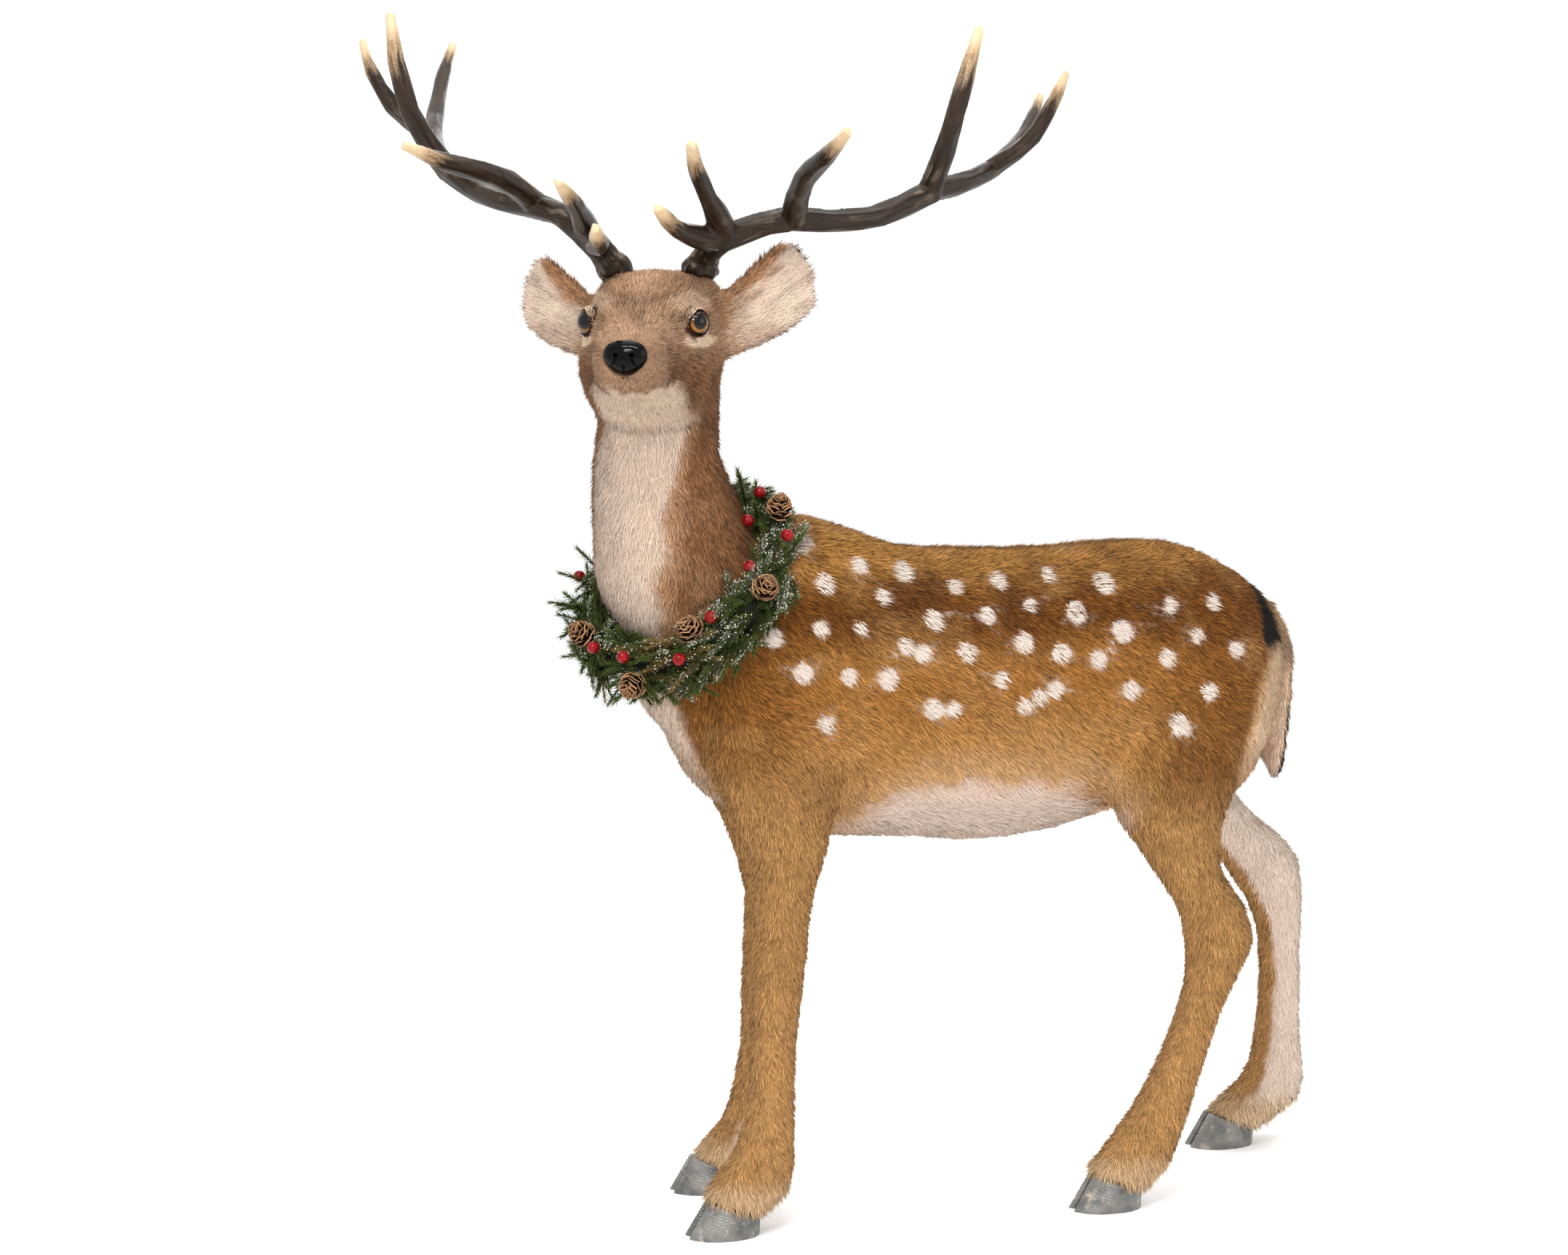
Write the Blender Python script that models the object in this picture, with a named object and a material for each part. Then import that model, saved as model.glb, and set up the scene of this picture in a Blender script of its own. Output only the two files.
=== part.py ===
"""A life-size plush display stag with resin antlers and a fir wreath, standing with its head turned left.

The stag faces -X, its left side is toward -Y and its soles are flats on z = 0. Flesh is modelled in a
stance frame whose x = 0 is at the left fore sole; at the end everything is moved so that the origin is
the bottom centre of the bounding box. All lengths are metres.
"""

import math

import bmesh
import bpy
from mathutils import Matrix, Vector

X_AXIS = Vector((1, 0, 0))
Y_AXIS = Vector((0, 1, 0))
Z_AXIS = Vector((0, 0, 1))

GAP = 0.0003  # left between pieces that touch
VOXEL = 0.006  # grid on which the overlapping lofts become one body
BODY_TRIANGLES = 3150
ANTLER_TRIANGLES = 560
WREATH_TRIANGLES = 380

# Head frame: x to the stag's right, y forward, z up, above the top of the neck.
HEAD_PIVOT = Vector((-0.055, 0.0, 1.219))  # between the antler burrs
HEAD_TURN = math.radians(64.4)  # to its left, away from the trunk's own forward
HEAD_FRAME = Matrix.Translation(HEAD_PIVOT) @ Matrix.Rotation(math.pi / 2 + HEAD_TURN, 4, "Z")

EYE_RADIUS = 0.0175
EYE_PLACE = Vector((0.0652, 0.092, -0.065))  # the right eye's centre, in the head frame
NOSE_PLACE = Vector((0.0, 0.196, -0.105))
NOSE_HALF = Vector((0.0262, 0.0125, 0.0205))

EAR_ROOT = Vector((0.064, 0.004, -0.088))
EAR_BACK = math.radians(36)  # swept back from straight out to the side
EAR_UP = {-1: math.radians(32), 1: math.radians(23)}  # the left ear is held higher
EAR_LENGTH = 0.168
EAR_TWIST = math.radians(-8)

HOOF_LENGTH = 0.098
HOOF_WIDTH = 0.070
HOOF_TOP = 0.047  # height of the coronet at the toe
TOE_SLOPE = 0.62  # how far the toe's wall leans back for each unit of height
HEEL_SLOPE = 0.06
SIDE_SLOPE = 0.12
CORONET_SLOPE = math.radians(-17)  # the coronet drops toward the heel

# The wreath is a ring hung round the base of the neck, low toward the front left.
WREATH_CENTRE = Vector((-0.018, -0.002, 0.816))
WREATH_LOW = math.radians(32)  # bearing of its low side, from straight ahead toward the stag's left
WREATH_REACH = 0.094  # half its breadth in plan along that bearing
WREATH_DROP = 0.089  # the low side is this far under the centre
WREATH_SIDE = 0.125  # half its breadth across
WREATH_TUBE = 0.036

BERRY_RADIUS = 0.0078
CONE_RADIUS = 0.018
CONE_LENGTH = 0.034


def clear_scene():
    for obj in list(bpy.data.objects):
        bpy.data.objects.remove(obj)


def material(name, colour, roughness, metallic=0.0):
    made = bpy.data.materials.new(name)
    made.use_nodes = True
    shader = made.node_tree.nodes["Principled BSDF"]
    shader.inputs["Base Color"].default_value = (*colour, 1.0)
    shader.inputs["Roughness"].default_value = roughness
    shader.inputs["Metallic"].default_value = metallic
    made.diffuse_color = (*colour, 1.0)
    return made


def add_object(name, bm):
    """A new object that holds the bmesh, with its normals outward."""
    bmesh.ops.recalc_face_normals(bm, faces=bm.faces)
    mesh = bpy.data.meshes.new(name)
    bm.to_mesh(mesh)
    bm.free()
    obj = bpy.data.objects.new(name, mesh)
    bpy.context.collection.objects.link(obj)
    return obj


def apply_modifiers(obj):
    graph = bpy.context.evaluated_depsgraph_get()
    mesh = bpy.data.meshes.new_from_object(obj.evaluated_get(graph), depsgraph=graph)
    obj.modifiers.clear()
    obj.data = mesh
    obj.data.name = obj.name


def curve_through(stations, steps):
    """Catmull-Rom values between the stations, each a tuple of numbers."""
    padded = [stations[0], *stations, stations[-1]]
    values = []
    for a, b, c, d in zip(padded, padded[1:], padded[2:], padded[3:]):
        for step in range(steps):
            t = step / steps
            values.append(
                [
                    0.5 * (2 * q + (r - p) * t + (2 * p - 5 * q + 4 * r - s) * t * t
                           + (3 * q - p - 3 * r + s) * t ** 3)
                    for p, q, r, s in zip(a, b, c, d)
                ]
            )
    values.append(list(stations[-1]))
    return values


def oval(turn, half_across, half_along, boxiness):
    """A point of a superellipse: boxiness 2 is an ellipse, and more is squarer."""
    c, s = math.cos(turn), math.sin(turn)
    power = 2.0 / boxiness
    return (
        half_across * math.copysign(abs(c) ** power, c),
        half_along * math.copysign(abs(s) ** power, s),
    )


def bridge_rings(bm, rings, closed=False):
    pairs = list(zip(rings, rings[1:]))
    if closed:
        pairs.append((rings[-1], rings[0]))
    for low, high in pairs:
        for i in range(len(low)):
            j = (i + 1) % len(low)
            bm.faces.new((low[i], low[j], high[j], high[i]))
    if not closed:
        bm.faces.new(rings[0])
        bm.faces.new(rings[-1])


def loft(name, stations, across, facing=None, sides=20, steps=4, boxiness=2.2, frame=None):
    """A closed tube through (x, y, z, half size across, half size along) stations.

    Its rings are square to facing, or else to the tube's own run.
    """
    values = curve_through(stations, steps)
    points = [Vector(value[:3]) for value in values]
    bm = bmesh.new()
    rings = []
    for i, (point, value) in enumerate(zip(points, values)):
        run = facing or points[min(i + 1, len(points) - 1)] - points[max(i - 1, 0)]
        run = run.normalized()
        side = (across - run * across.dot(run)).normalized()
        front = side.cross(run)
        ring = []
        for k in range(sides):
            a, b = oval(2 * math.pi * k / sides, value[3], value[4], boxiness)
            ring.append(bm.verts.new(point + side * a + front * b))
        rings.append(ring)
    bridge_rings(bm, rings)
    obj = add_object(name, bm)
    if frame is not None:
        obj.data.transform(frame)
    return obj


def blend(name, parts, voxel, smoothing, triangles):
    """One closed skin round all the parts, which are used up."""
    bm = bmesh.new()
    for part in parts:
        bm.from_mesh(part.data)
        bpy.data.objects.remove(part)
    obj = add_object(name, bm)
    remesh = obj.modifiers.new("remesh", "REMESH")
    remesh.mode = "VOXEL"
    remesh.voxel_size = voxel
    smooth = obj.modifiers.new("smooth", "SMOOTH")
    smooth.factor = 0.5
    smooth.iterations = smoothing
    apply_modifiers(obj)
    decimate = obj.modifiers.new("decimate", "DECIMATE")
    decimate.ratio = triangles / (2 * len(obj.data.polygons))
    decimate.use_collapse_triangulate = True
    apply_modifiers(obj)
    return obj


def copy_of(obj, name, grown=0.0):
    """A copy of the object, its surface moved out by grown."""
    other = obj.copy()
    other.name = name
    other.data = obj.data.copy()
    if grown:
        for vertex, normal in zip(other.data.vertices, [v.normal.copy() for v in obj.data.vertices]):
            vertex.co += normal * grown
    bpy.context.collection.objects.link(other)
    return other


def boolean(obj, cutter, operation):
    modifier = obj.modifiers.new("boolean", "BOOLEAN")
    modifier.operation = operation
    modifier.solver = "EXACT"
    modifier.object = cutter
    apply_modifiers(obj)


def islands(obj):
    """The connected pieces of the object's mesh, largest first, each a list of vertex indices."""
    near = [[] for _ in obj.data.vertices]
    for edge in obj.data.edges:
        a, b = edge.vertices
        near[a].append(b)
        near[b].append(a)
    left = set(range(len(near)))
    pieces = []
    while left:
        front = [left.pop()]
        piece = list(front)
        while front:
            front = [n for n in {n for v in front for n in near[v]} if n in left]
            left -= set(front)
            piece += front
        pieces.append(piece)
    return sorted(pieces, key=len, reverse=True)


def keep_island(obj, piece):
    """Drops all of the object's mesh but one connected piece."""
    kept = set(piece)
    bm = bmesh.new()
    bm.from_mesh(obj.data)
    bmesh.ops.delete(bm, geom=[v for v in bm.verts if v.index not in kept], context="VERTS")
    bmesh.ops.triangulate(bm, faces=bm.faces)
    bm.to_mesh(obj.data)
    bm.free()


def keep_largest(obj):
    keep_island(obj, islands(obj)[0])


def block(name, low, high, frame=Matrix.Identity(4)):
    """A box between two corners of the frame."""
    low, high = Vector(low), Vector(high)
    bm = bmesh.new()
    bmesh.ops.create_cube(bm, size=1.0)
    bmesh.ops.scale(bm, vec=high - low, verts=bm.verts)
    bmesh.ops.translate(bm, vec=(low + high) / 2, verts=bm.verts)
    bmesh.ops.transform(bm, matrix=frame, verts=bm.verts)
    return add_object(name, bm)


def part_off(whole, name, low, high, frame=Matrix.Identity(4)):
    """Takes the piece of whole inside a box away as a new object, leaving a thin gap."""
    margin = Vector((GAP / 2, GAP / 2, GAP / 2))
    inner = block("inner", Vector(low) + margin, Vector(high) - margin, frame)
    outer = block("outer", Vector(low) - margin, Vector(high) + margin, frame)
    piece = copy_of(whole, name)
    boolean(piece, inner, "INTERSECT")
    boolean(whole, outer, "DIFFERENCE")
    bpy.data.objects.remove(inner)
    bpy.data.objects.remove(outer)
    keep_largest(piece)
    keep_largest(whole)
    return piece


def trunk_parts():
    """Barrel of the body, from brisket to rump: x, y, z of each ring's middle, half width, half height."""
    barrel = [
        (-0.081, 0, 0.696, 0.024, 0.022),
        (-0.066, 0, 0.698, 0.050, 0.046),
        (-0.043, 0, 0.706, 0.072, 0.084),
        (-0.012, 0, 0.709, 0.095, 0.145),
        (0.036, 0, 0.706, 0.113, 0.178),
        (0.105, 0, 0.703, 0.126, 0.205),
        (0.175, 0, 0.692, 0.131, 0.203),
        (0.260, 0, 0.675, 0.136, 0.191),
        (0.360, 0, 0.667, 0.140, 0.192),
        (0.460, 0, 0.671, 0.140, 0.187),
        (0.540, 0, 0.684, 0.138, 0.179),
        (0.610, 0, 0.687, 0.136, 0.176),
        (0.660, 0, 0.681, 0.128, 0.172),
        (0.706, 0, 0.671, 0.116, 0.160),
        (0.740, 0, 0.674, 0.096, 0.136),
        (0.764, 0, 0.686, 0.074, 0.102),
        (0.784, 0, 0.694, 0.046, 0.060),
        (0.794, 0, 0.696, 0.018, 0.020),
    ]
    return [loft("barrel", barrel, Y_AXIS, X_AXIS, sides=32, boxiness=2.35)]


def neck_parts():
    """Neck, from inside the chest up to the throat."""
    column = [
        (0.016, 0, 0.695, 0.096, 0.090),
        (0.004, 0, 0.765, 0.104, 0.112),
        (-0.022, 0, 0.825, 0.100, 0.112),
        (-0.035, 0, 0.880, 0.095, 0.103),
        (-0.049, -0.002, 0.935, 0.085, 0.091),
        (-0.059, -0.005, 0.990, 0.078, 0.079),
        (-0.057, -0.010, 1.035, 0.075, 0.076),
        (-0.060, -0.020, 1.085, 0.075, 0.075),
    ]
    return [loft("column", column, Y_AXIS, Z_AXIS, sides=28)]


def head_parts():
    """Head, from the back of the skull to the muzzle, in the head frame."""
    skull = [
        (0, -0.092, -0.075, 0.022, 0.020),
        (0, -0.082, -0.078, 0.050, 0.048),
        (0, -0.055, -0.088, 0.070, 0.078),
        (0, -0.015, -0.098, 0.080, 0.096),
        (0, 0.030, -0.102, 0.085, 0.099),
        (0, 0.070, -0.106, 0.083, 0.093),
        (0, 0.100, -0.108, 0.076, 0.080),
        (0, 0.128, -0.112, 0.062, 0.062),
        (0, 0.155, -0.114, 0.052, 0.047),
        (0, 0.180, -0.115, 0.045, 0.038),
        (0, 0.196, -0.114, 0.036, 0.030),
        (0, 0.202, -0.113, 0.020, 0.018),
    ]
    throat = [
        (0, 0.045, -0.110, 0.077, 0.074),
        (0, 0.038, -0.150, 0.077, 0.077),
        (0, 0.024, -0.185, 0.073, 0.074),
        (0, 0.008, -0.225, 0.068, 0.070),
    ]
    crown = [
        (-0.078, -0.010, -0.044, 0.018, 0.012),
        (-0.068, -0.010, -0.041, 0.028, 0.026),
        (-0.045, -0.010, -0.040, 0.034, 0.036),
        (0.045, -0.010, -0.040, 0.034, 0.036),
        (0.068, -0.010, -0.041, 0.028, 0.026),
        (0.078, -0.010, -0.044, 0.018, 0.012),
    ]
    return [
        loft("skull", skull, X_AXIS, Y_AXIS, sides=28, boxiness=2.6, frame=HEAD_FRAME),
        loft("crown", crown, Y_AXIS, X_AXIS, sides=20, frame=HEAD_FRAME),
        loft("throat", throat, X_AXIS, Z_AXIS, sides=28, frame=HEAD_FRAME),
    ]


def ear_frame(side):
    """Frame of one ear (1 right, -1 left): x across the leaf, y out of its hollow, z toward the tip."""
    up = EAR_UP[side]
    tip = Vector(
        (
            side * math.cos(EAR_BACK) * math.cos(up),
            -math.sin(EAR_BACK) * math.cos(up),
            math.sin(up),
        )
    )
    forward = Vector((0, 1, 0))
    hollow = (forward - tip * forward.dot(tip)).normalized()
    hollow = Matrix.Rotation(side * EAR_TWIST, 3, tip) @ hollow
    width = hollow.cross(tip)
    axes = Matrix((width, hollow, tip)).transposed().to_4x4()
    root = Vector((side * EAR_ROOT.x, EAR_ROOT.y, EAR_ROOT.z))
    return HEAD_FRAME @ Matrix.Translation(root) @ axes


def ear_part(side):
    """A cupped leaf: each ring is a thin crescent, open toward the ear's hollow, and the tip leans up."""
    spread = [
        (0.000, 0.032, 0.016, 0.012, 0.000),
        (0.030, 0.038, 0.018, 0.020, -0.001),
        (0.065, 0.043, 0.014, 0.018, -0.004),
        (0.100, 0.047, 0.011, 0.012, -0.004),
        (0.130, 0.048, 0.009, 0.007, 0.000),
        (0.152, 0.043, 0.008, 0.004, 0.004),
        (EAR_LENGTH, 0.024, 0.006, 0.001, 0.013),
    ]
    bm = bmesh.new()
    rings = []
    for along, half_width, half_thick, cup, rise in curve_through(spread, 3):
        ring = []
        for k in range(24):
            a, b = oval(2 * math.pi * k / 24, half_width, half_thick, 2.2)
            bend = cup * ((a / half_width) ** 2 - 0.5)
            ring.append(bm.verts.new((a - side * rise, b + bend, along)))
        rings.append(ring)
    bridge_rings(bm, rings)
    obj = add_object("leaf", bm)
    obj.data.transform(ear_frame(side))
    return obj


# Stations of each leg: x, distance from the middle, z, half width, half depth.
LEGS = {
    "front_left": [
        (0.060, 0.068, 0.730, 0.050, 0.070),
        (0.064, 0.082, 0.635, 0.056, 0.084),
        (0.076, 0.090, 0.555, 0.048, 0.072),
        (0.087, 0.095, 0.490, 0.040, 0.052),
        (0.080, 0.098, 0.430, 0.035, 0.040),
        (0.076, 0.100, 0.371, 0.034, 0.036),
        (0.071, 0.101, 0.310, 0.034, 0.034),
        (0.066, 0.102, 0.250, 0.031, 0.031),
        (0.064, 0.103, 0.190, 0.030, 0.030),
        (0.061, 0.104, 0.150, 0.032, 0.033),
        (0.054, 0.105, 0.110, 0.035, 0.039),
        (0.048, 0.105, 0.092, 0.037, 0.045),
        (0.035, 0.105, 0.064, 0.038, 0.054),
        (0.023, 0.105, 0.044, 0.038, 0.050),
        (0.002, 0.105, 0.022, 0.036, 0.045),
        (-0.003, 0.105, 0.006, 0.034, 0.042),
    ],
    "front_right": [
        (0.088, 0.068, 0.730, 0.050, 0.070),
        (0.090, 0.082, 0.635, 0.056, 0.084),
        (0.100, 0.090, 0.555, 0.048, 0.074),
        (0.112, 0.095, 0.485, 0.040, 0.054),
        (0.119, 0.098, 0.420, 0.035, 0.039),
        (0.120, 0.100, 0.371, 0.034, 0.036),
        (0.116, 0.101, 0.310, 0.034, 0.035),
        (0.112, 0.102, 0.250, 0.031, 0.032),
        (0.109, 0.103, 0.190, 0.030, 0.031),
        (0.105, 0.104, 0.150, 0.032, 0.034),
        (0.100, 0.105, 0.112, 0.035, 0.038),
        (0.093, 0.105, 0.088, 0.037, 0.044),
        (0.077, 0.105, 0.062, 0.038, 0.050),
        (0.060, 0.105, 0.044, 0.038, 0.047),
        (0.036, 0.105, 0.022, 0.036, 0.045),
        (0.030, 0.105, 0.006, 0.034, 0.042),
    ],
    "hind_left": [
        (0.655, 0.066, 0.735, 0.060, 0.094),
        (0.630, 0.088, 0.655, 0.062, 0.108),
        (0.603, 0.106, 0.585, 0.056, 0.100),
        (0.596, 0.116, 0.525, 0.050, 0.080),
        (0.602, 0.120, 0.489, 0.044, 0.062),
        (0.621, 0.123, 0.440, 0.038, 0.046),
        (0.652, 0.124, 0.392, 0.035, 0.046),
        (0.664, 0.124, 0.352, 0.033, 0.048),
        (0.660, 0.124, 0.318, 0.031, 0.041),
        (0.644, 0.124, 0.272, 0.029, 0.032),
        (0.627, 0.124, 0.225, 0.029, 0.031),
        (0.608, 0.124, 0.178, 0.030, 0.034),
        (0.587, 0.124, 0.131, 0.033, 0.040),
        (0.563, 0.123, 0.086, 0.036, 0.050),
        (0.544, 0.123, 0.056, 0.038, 0.053),
        (0.518, 0.123, 0.024, 0.036, 0.048),
        (0.509, 0.123, 0.006, 0.034, 0.044),
    ],
    "hind_right": [
        (0.662, 0.066, 0.735, 0.060, 0.088),
        (0.650, 0.088, 0.655, 0.062, 0.098),
        (0.664, 0.106, 0.585, 0.056, 0.086),
        (0.694, 0.118, 0.525, 0.050, 0.076),
        (0.748, 0.124, 0.472, 0.043, 0.065),
        (0.809, 0.127, 0.427, 0.036, 0.060),
        (0.838, 0.128, 0.388, 0.033, 0.055),
        (0.854, 0.128, 0.345, 0.032, 0.041),
        (0.861, 0.128, 0.312, 0.031, 0.033),
        (0.864, 0.128, 0.266, 0.029, 0.029),
        (0.865, 0.128, 0.215, 0.029, 0.030),
        (0.863, 0.128, 0.165, 0.030, 0.032),
        (0.862, 0.128, 0.125, 0.033, 0.037),
        (0.856, 0.128, 0.091, 0.036, 0.046),
        (0.840, 0.128, 0.066, 0.038, 0.056),
        (0.814, 0.128, 0.044, 0.038, 0.054),
        (0.782, 0.128, 0.022, 0.036, 0.048),
        (0.776, 0.128, 0.006, 0.034, 0.044),
    ],
}
# Where the legs are parted from the trunk: bottom front and top back of each cut, seen from the side.
FORE_QUARTER = (Vector((-0.10, 0, 0.50)), Vector((0.175, 0, 0.60)))
HIND_QUARTER = (Vector((0.510, 0, 0.50)), Vector((1.10, 0, 0.66)))
HIND_LEAN = math.radians(28)
LEG_INNER = 0.024
LEG_REACH = 0.8  # far enough to take in a whole leg below its cut
FAR_SIDE = 0.3
# Where the ears are parted from the head: the corners of a box, for the right ear.
EAR_BOX = (Vector((0.088, -0.3, -0.09)), Vector((0.40, 0.062, 0.2)))
THROAT_LEVEL = 1.029  # height at which the head leaves the neck


def side_of(label):
    return -1 if label.endswith("left") else 1


def leg_part(label):
    side = side_of(label)
    placed = [(x, side * y, z, across, along) for x, y, z, across, along in LEGS[label]]
    return loft("leg", placed, Y_AXIS, Z_AXIS, sides=18)


def sole_of(label):
    x, y = LEGS[label][-1][:2]
    return Vector((x, side_of(label) * y, 0.0))


def coronet_frame(sole):
    """A frame at the toe end of a hoof's top whose z is square to the sloping coronet."""
    toe = Vector((sole.x - HOOF_LENGTH / 2 + TOE_SLOPE * HOOF_TOP, sole.y, HOOF_TOP))
    return Matrix.Translation(toe) @ Matrix.Rotation(-CORONET_SLOPE, 4, "Y")


def hoof(name, sole):
    """A cloven hoof: rings with a notch at the toe, wide at the sole, cut off at the coronet."""
    sides = 18
    bm = bmesh.new()
    rings = []
    for rise in (0.0, 0.006, 0.058):
        front = HOOF_LENGTH / 2 - TOE_SLOPE * rise
        back = HOOF_LENGTH / 2 + HEEL_SLOPE * rise
        half_width = HOOF_WIDTH / 2 - SIDE_SLOPE * rise
        ring = []
        for k in range(sides):
            turn = 2 * math.pi * k / sides
            a, b = oval(turn, (front + back) / 2, half_width, 2.2)
            toe = max(0.0, -math.cos(turn))
            narrow = 1.0 - 0.28 * toe ** 3
            cleft = 0.80 if k == sides // 2 else 1.0
            ring.append(bm.verts.new((sole.x + (back - front) / 2 + a * cleft, sole.y + b * narrow, rise)))
        rings.append(ring)
    bridge_rings(bm, rings)
    obj = add_object(name, bm)
    over = block("over", (-0.2, -0.2, -GAP / 2), (0.2, 0.2, 0.2), coronet_frame(sole))
    boolean(obj, over, "DIFFERENCE")
    bpy.data.objects.remove(over)
    keep_largest(obj)
    return obj


# Routes of an antler, in the head frame but with x out to its own side: x, y, z, radius.
BROW = [
    (0.078, 0.006, 0.034, 0.013),
    (0.064, 0.050, 0.038, 0.0135),
    (0.049, 0.099, 0.047, 0.0110),
    (0.041, 0.140, 0.060, 0.0090),
    (0.035, 0.173, 0.075, 0.0055),
]
FORE_TINE = [
    (0.322, -0.166, 0.099, 0.014),
    (0.342, -0.138, 0.140, 0.0135),
    (0.357, -0.116, 0.181, 0.0120),
    (0.374, -0.118, 0.242, 0.0100),
    (0.388, -0.137, 0.303, 0.0055),
]
REAR_BRANCH = [
    (0.322, -0.166, 0.098, 0.0140),
    (0.360, -0.242, 0.110, 0.0130),
    (0.388, -0.320, 0.130, 0.0120),
    (0.408, -0.400, 0.158, 0.0105),
    (0.421, -0.475, 0.194, 0.0085),
    (0.427, -0.543, 0.232, 0.0050),
]
LAST_TINE = [
    (0.384, -0.306, 0.127, 0.0115),
    (0.434, -0.300, 0.161, 0.0105),
    (0.466, -0.298, 0.211, 0.0080),
    (0.483, -0.309, 0.254, 0.0050),
]
SHARED_ROUTES = [BROW, FORE_TINE, REAR_BRANCH, LAST_TINE]
# The two castings differ in burr, beam, bez and trez.
LEFT_BURR = [(0.049, -0.016, -0.012, 0.0195), (0.051, -0.016, -0.001, 0.0205), (0.055, -0.013, 0.008, 0.0155)]
LEFT_BEAM = [
    (0.046, -0.016, -0.030, 0.0170),
    (0.050, -0.015, 0.000, 0.0165),
    (0.061, -0.006, 0.018, 0.0150),
    (0.083, 0.006, 0.035, 0.0165),
    (0.126, -0.010, 0.053, 0.0145),
    (0.167, -0.032, 0.061, 0.0150),
    (0.214, -0.060, 0.059, 0.0135),
    (0.266, -0.112, 0.066, 0.0135),
    (0.325, -0.168, 0.097, 0.0150),
]
LEFT_BEZ = [
    (0.088, 0.006, 0.043, 0.0150),
    (0.085, 0.050, 0.066, 0.0145),
    (0.080, 0.094, 0.090, 0.0110),
    (0.078, 0.148, 0.122, 0.0090),
    (0.081, 0.192, 0.151, 0.0055),
]
LEFT_TREZ = [
    (0.168, -0.030, 0.060, 0.0150),
    (0.180, 0.012, 0.090, 0.0145),
    (0.200, 0.065, 0.115, 0.0130),
    (0.235, 0.130, 0.136, 0.0105),
    (0.269, 0.187, 0.165, 0.0055),
]
RIGHT_BURR = [(0.058, -0.016, -0.010, 0.0200), (0.060, -0.016, 0.001, 0.0205), (0.065, -0.012, 0.011, 0.0160)]
RIGHT_BEAM = [
    (0.054, -0.016, -0.030, 0.0170),
    (0.060, -0.015, 0.000, 0.0165),
    (0.073, -0.004, 0.022, 0.0160),
    (0.089, 0.006, 0.043, 0.0165),
    (0.126, -0.010, 0.065, 0.0145),
    (0.167, -0.032, 0.072, 0.0150),
    (0.214, -0.060, 0.073, 0.0135),
    (0.266, -0.112, 0.079, 0.0135),
    (0.325, -0.168, 0.101, 0.0150),
]
RIGHT_BEZ = [
    (0.087, 0.006, 0.048, 0.0150),
    (0.082, 0.050, 0.066, 0.0145),
    (0.076, 0.094, 0.084, 0.0110),
    (0.073, 0.148, 0.108, 0.0090),
    (0.076, 0.192, 0.132, 0.0055),
]
RIGHT_TREZ = [
    (0.168, -0.030, 0.078, 0.0150),
    (0.180, 0.012, 0.102, 0.0145),
    (0.200, 0.065, 0.124, 0.0130),
    (0.235, 0.130, 0.143, 0.0105),
    (0.269, 0.187, 0.169, 0.0055),
]
ROUTES = {
    -1: [LEFT_BURR, LEFT_BEAM, LEFT_BEZ, LEFT_TREZ, *SHARED_ROUTES],
    1: [RIGHT_BURR, RIGHT_BEAM, RIGHT_BEZ, RIGHT_TREZ, *SHARED_ROUTES],
}
TUBE_SHRINKS = 0.0012  # what smoothing takes off a tine's radius
# Where each piece leaves the antler: a point of its route, the direction along it there, and its tip.
CUTS = {
    "beam": ((0.119, -0.007, 0.059), (0.90, -0.38, 0.22), (0.269, 0.187, 0.165)),
    "fore_tine": ((0.338, -0.146, 0.132), (0.38, 0.50, 0.78), (0.388, -0.137, 0.303)),
    "rear_branch": ((0.342, -0.202, 0.104), (0.49, -0.86, 0.14), (0.427, -0.543, 0.232)),
}
CUT_REACH = 0.026
ANTLER_VOXEL = 0.0028

# The right antler sits turned a little in its socket.
RIGHT_PITCH = math.radians(-7.1)
RIGHT_ROLL = math.radians(-1.9)
RIGHT_YAW = math.radians(-1.8)


def antler_frame(side):
    """Frame that holds the routes, which have x to the left; side is 1 right, -1 left."""
    if side < 0:
        return HEAD_FRAME @ Matrix.Diagonal((-1, 1, 1, 1))
    burr = Vector((0.053, -0.015, 0.0))
    turned = Matrix.Rotation(RIGHT_YAW, 4, "Z") @ Matrix.Rotation(RIGHT_ROLL, 4, "Y")
    turned = turned @ Matrix.Rotation(RIGHT_PITCH, 4, "X")
    return HEAD_FRAME @ Matrix.Translation(burr) @ turned @ Matrix.Translation(-burr)


def antler(side, label, head):
    """The four nodes of one antler: base with brow and bez tines, beam with trez, fore tine, rear branch."""
    frame = antler_frame(side)
    parts = []
    for route in ROUTES[side]:
        stations = [(x, y, z, r + TUBE_SHRINKS, r + TUBE_SHRINKS) for x, y, z, r in route]
        parts.append(loft("tine", stations, Vector((0.3, 0.1, -0.9)), sides=12, boxiness=2.0, frame=frame))
    whole = blend(f"antler_{label}_base", parts, ANTLER_VOXEL, 3, ANTLER_TRIANGLES)
    boolean(whole, head, "DIFFERENCE")
    keep_largest(whole)
    for point, along, _ in CUTS.values():
        turn = Z_AXIS.rotation_difference(frame.to_3x3() @ Vector(along)).to_matrix().to_4x4()
        place = Matrix.Translation(frame @ Vector(point)) @ turn
        slit = block("slit", (-CUT_REACH, -CUT_REACH, -GAP / 2), (CUT_REACH, CUT_REACH, GAP / 2), place)
        boolean(whole, slit, "DIFFERENCE")
        bpy.data.objects.remove(slit)
    pieces = islands(whole)
    nodes = []
    for name, (_, _, tip) in CUTS.items():
        tip = frame @ Vector(tip)
        nearest = min(pieces, key=lambda piece: min((whole.data.vertices[v].co - tip).length for v in piece))
        pieces.remove(nearest)
        node = copy_of(whole, f"antler_{label}_{name}")
        keep_island(node, nearest)
        nodes.append(node)
    keep_island(whole, pieces[0])
    return [whole, *nodes]


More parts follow.
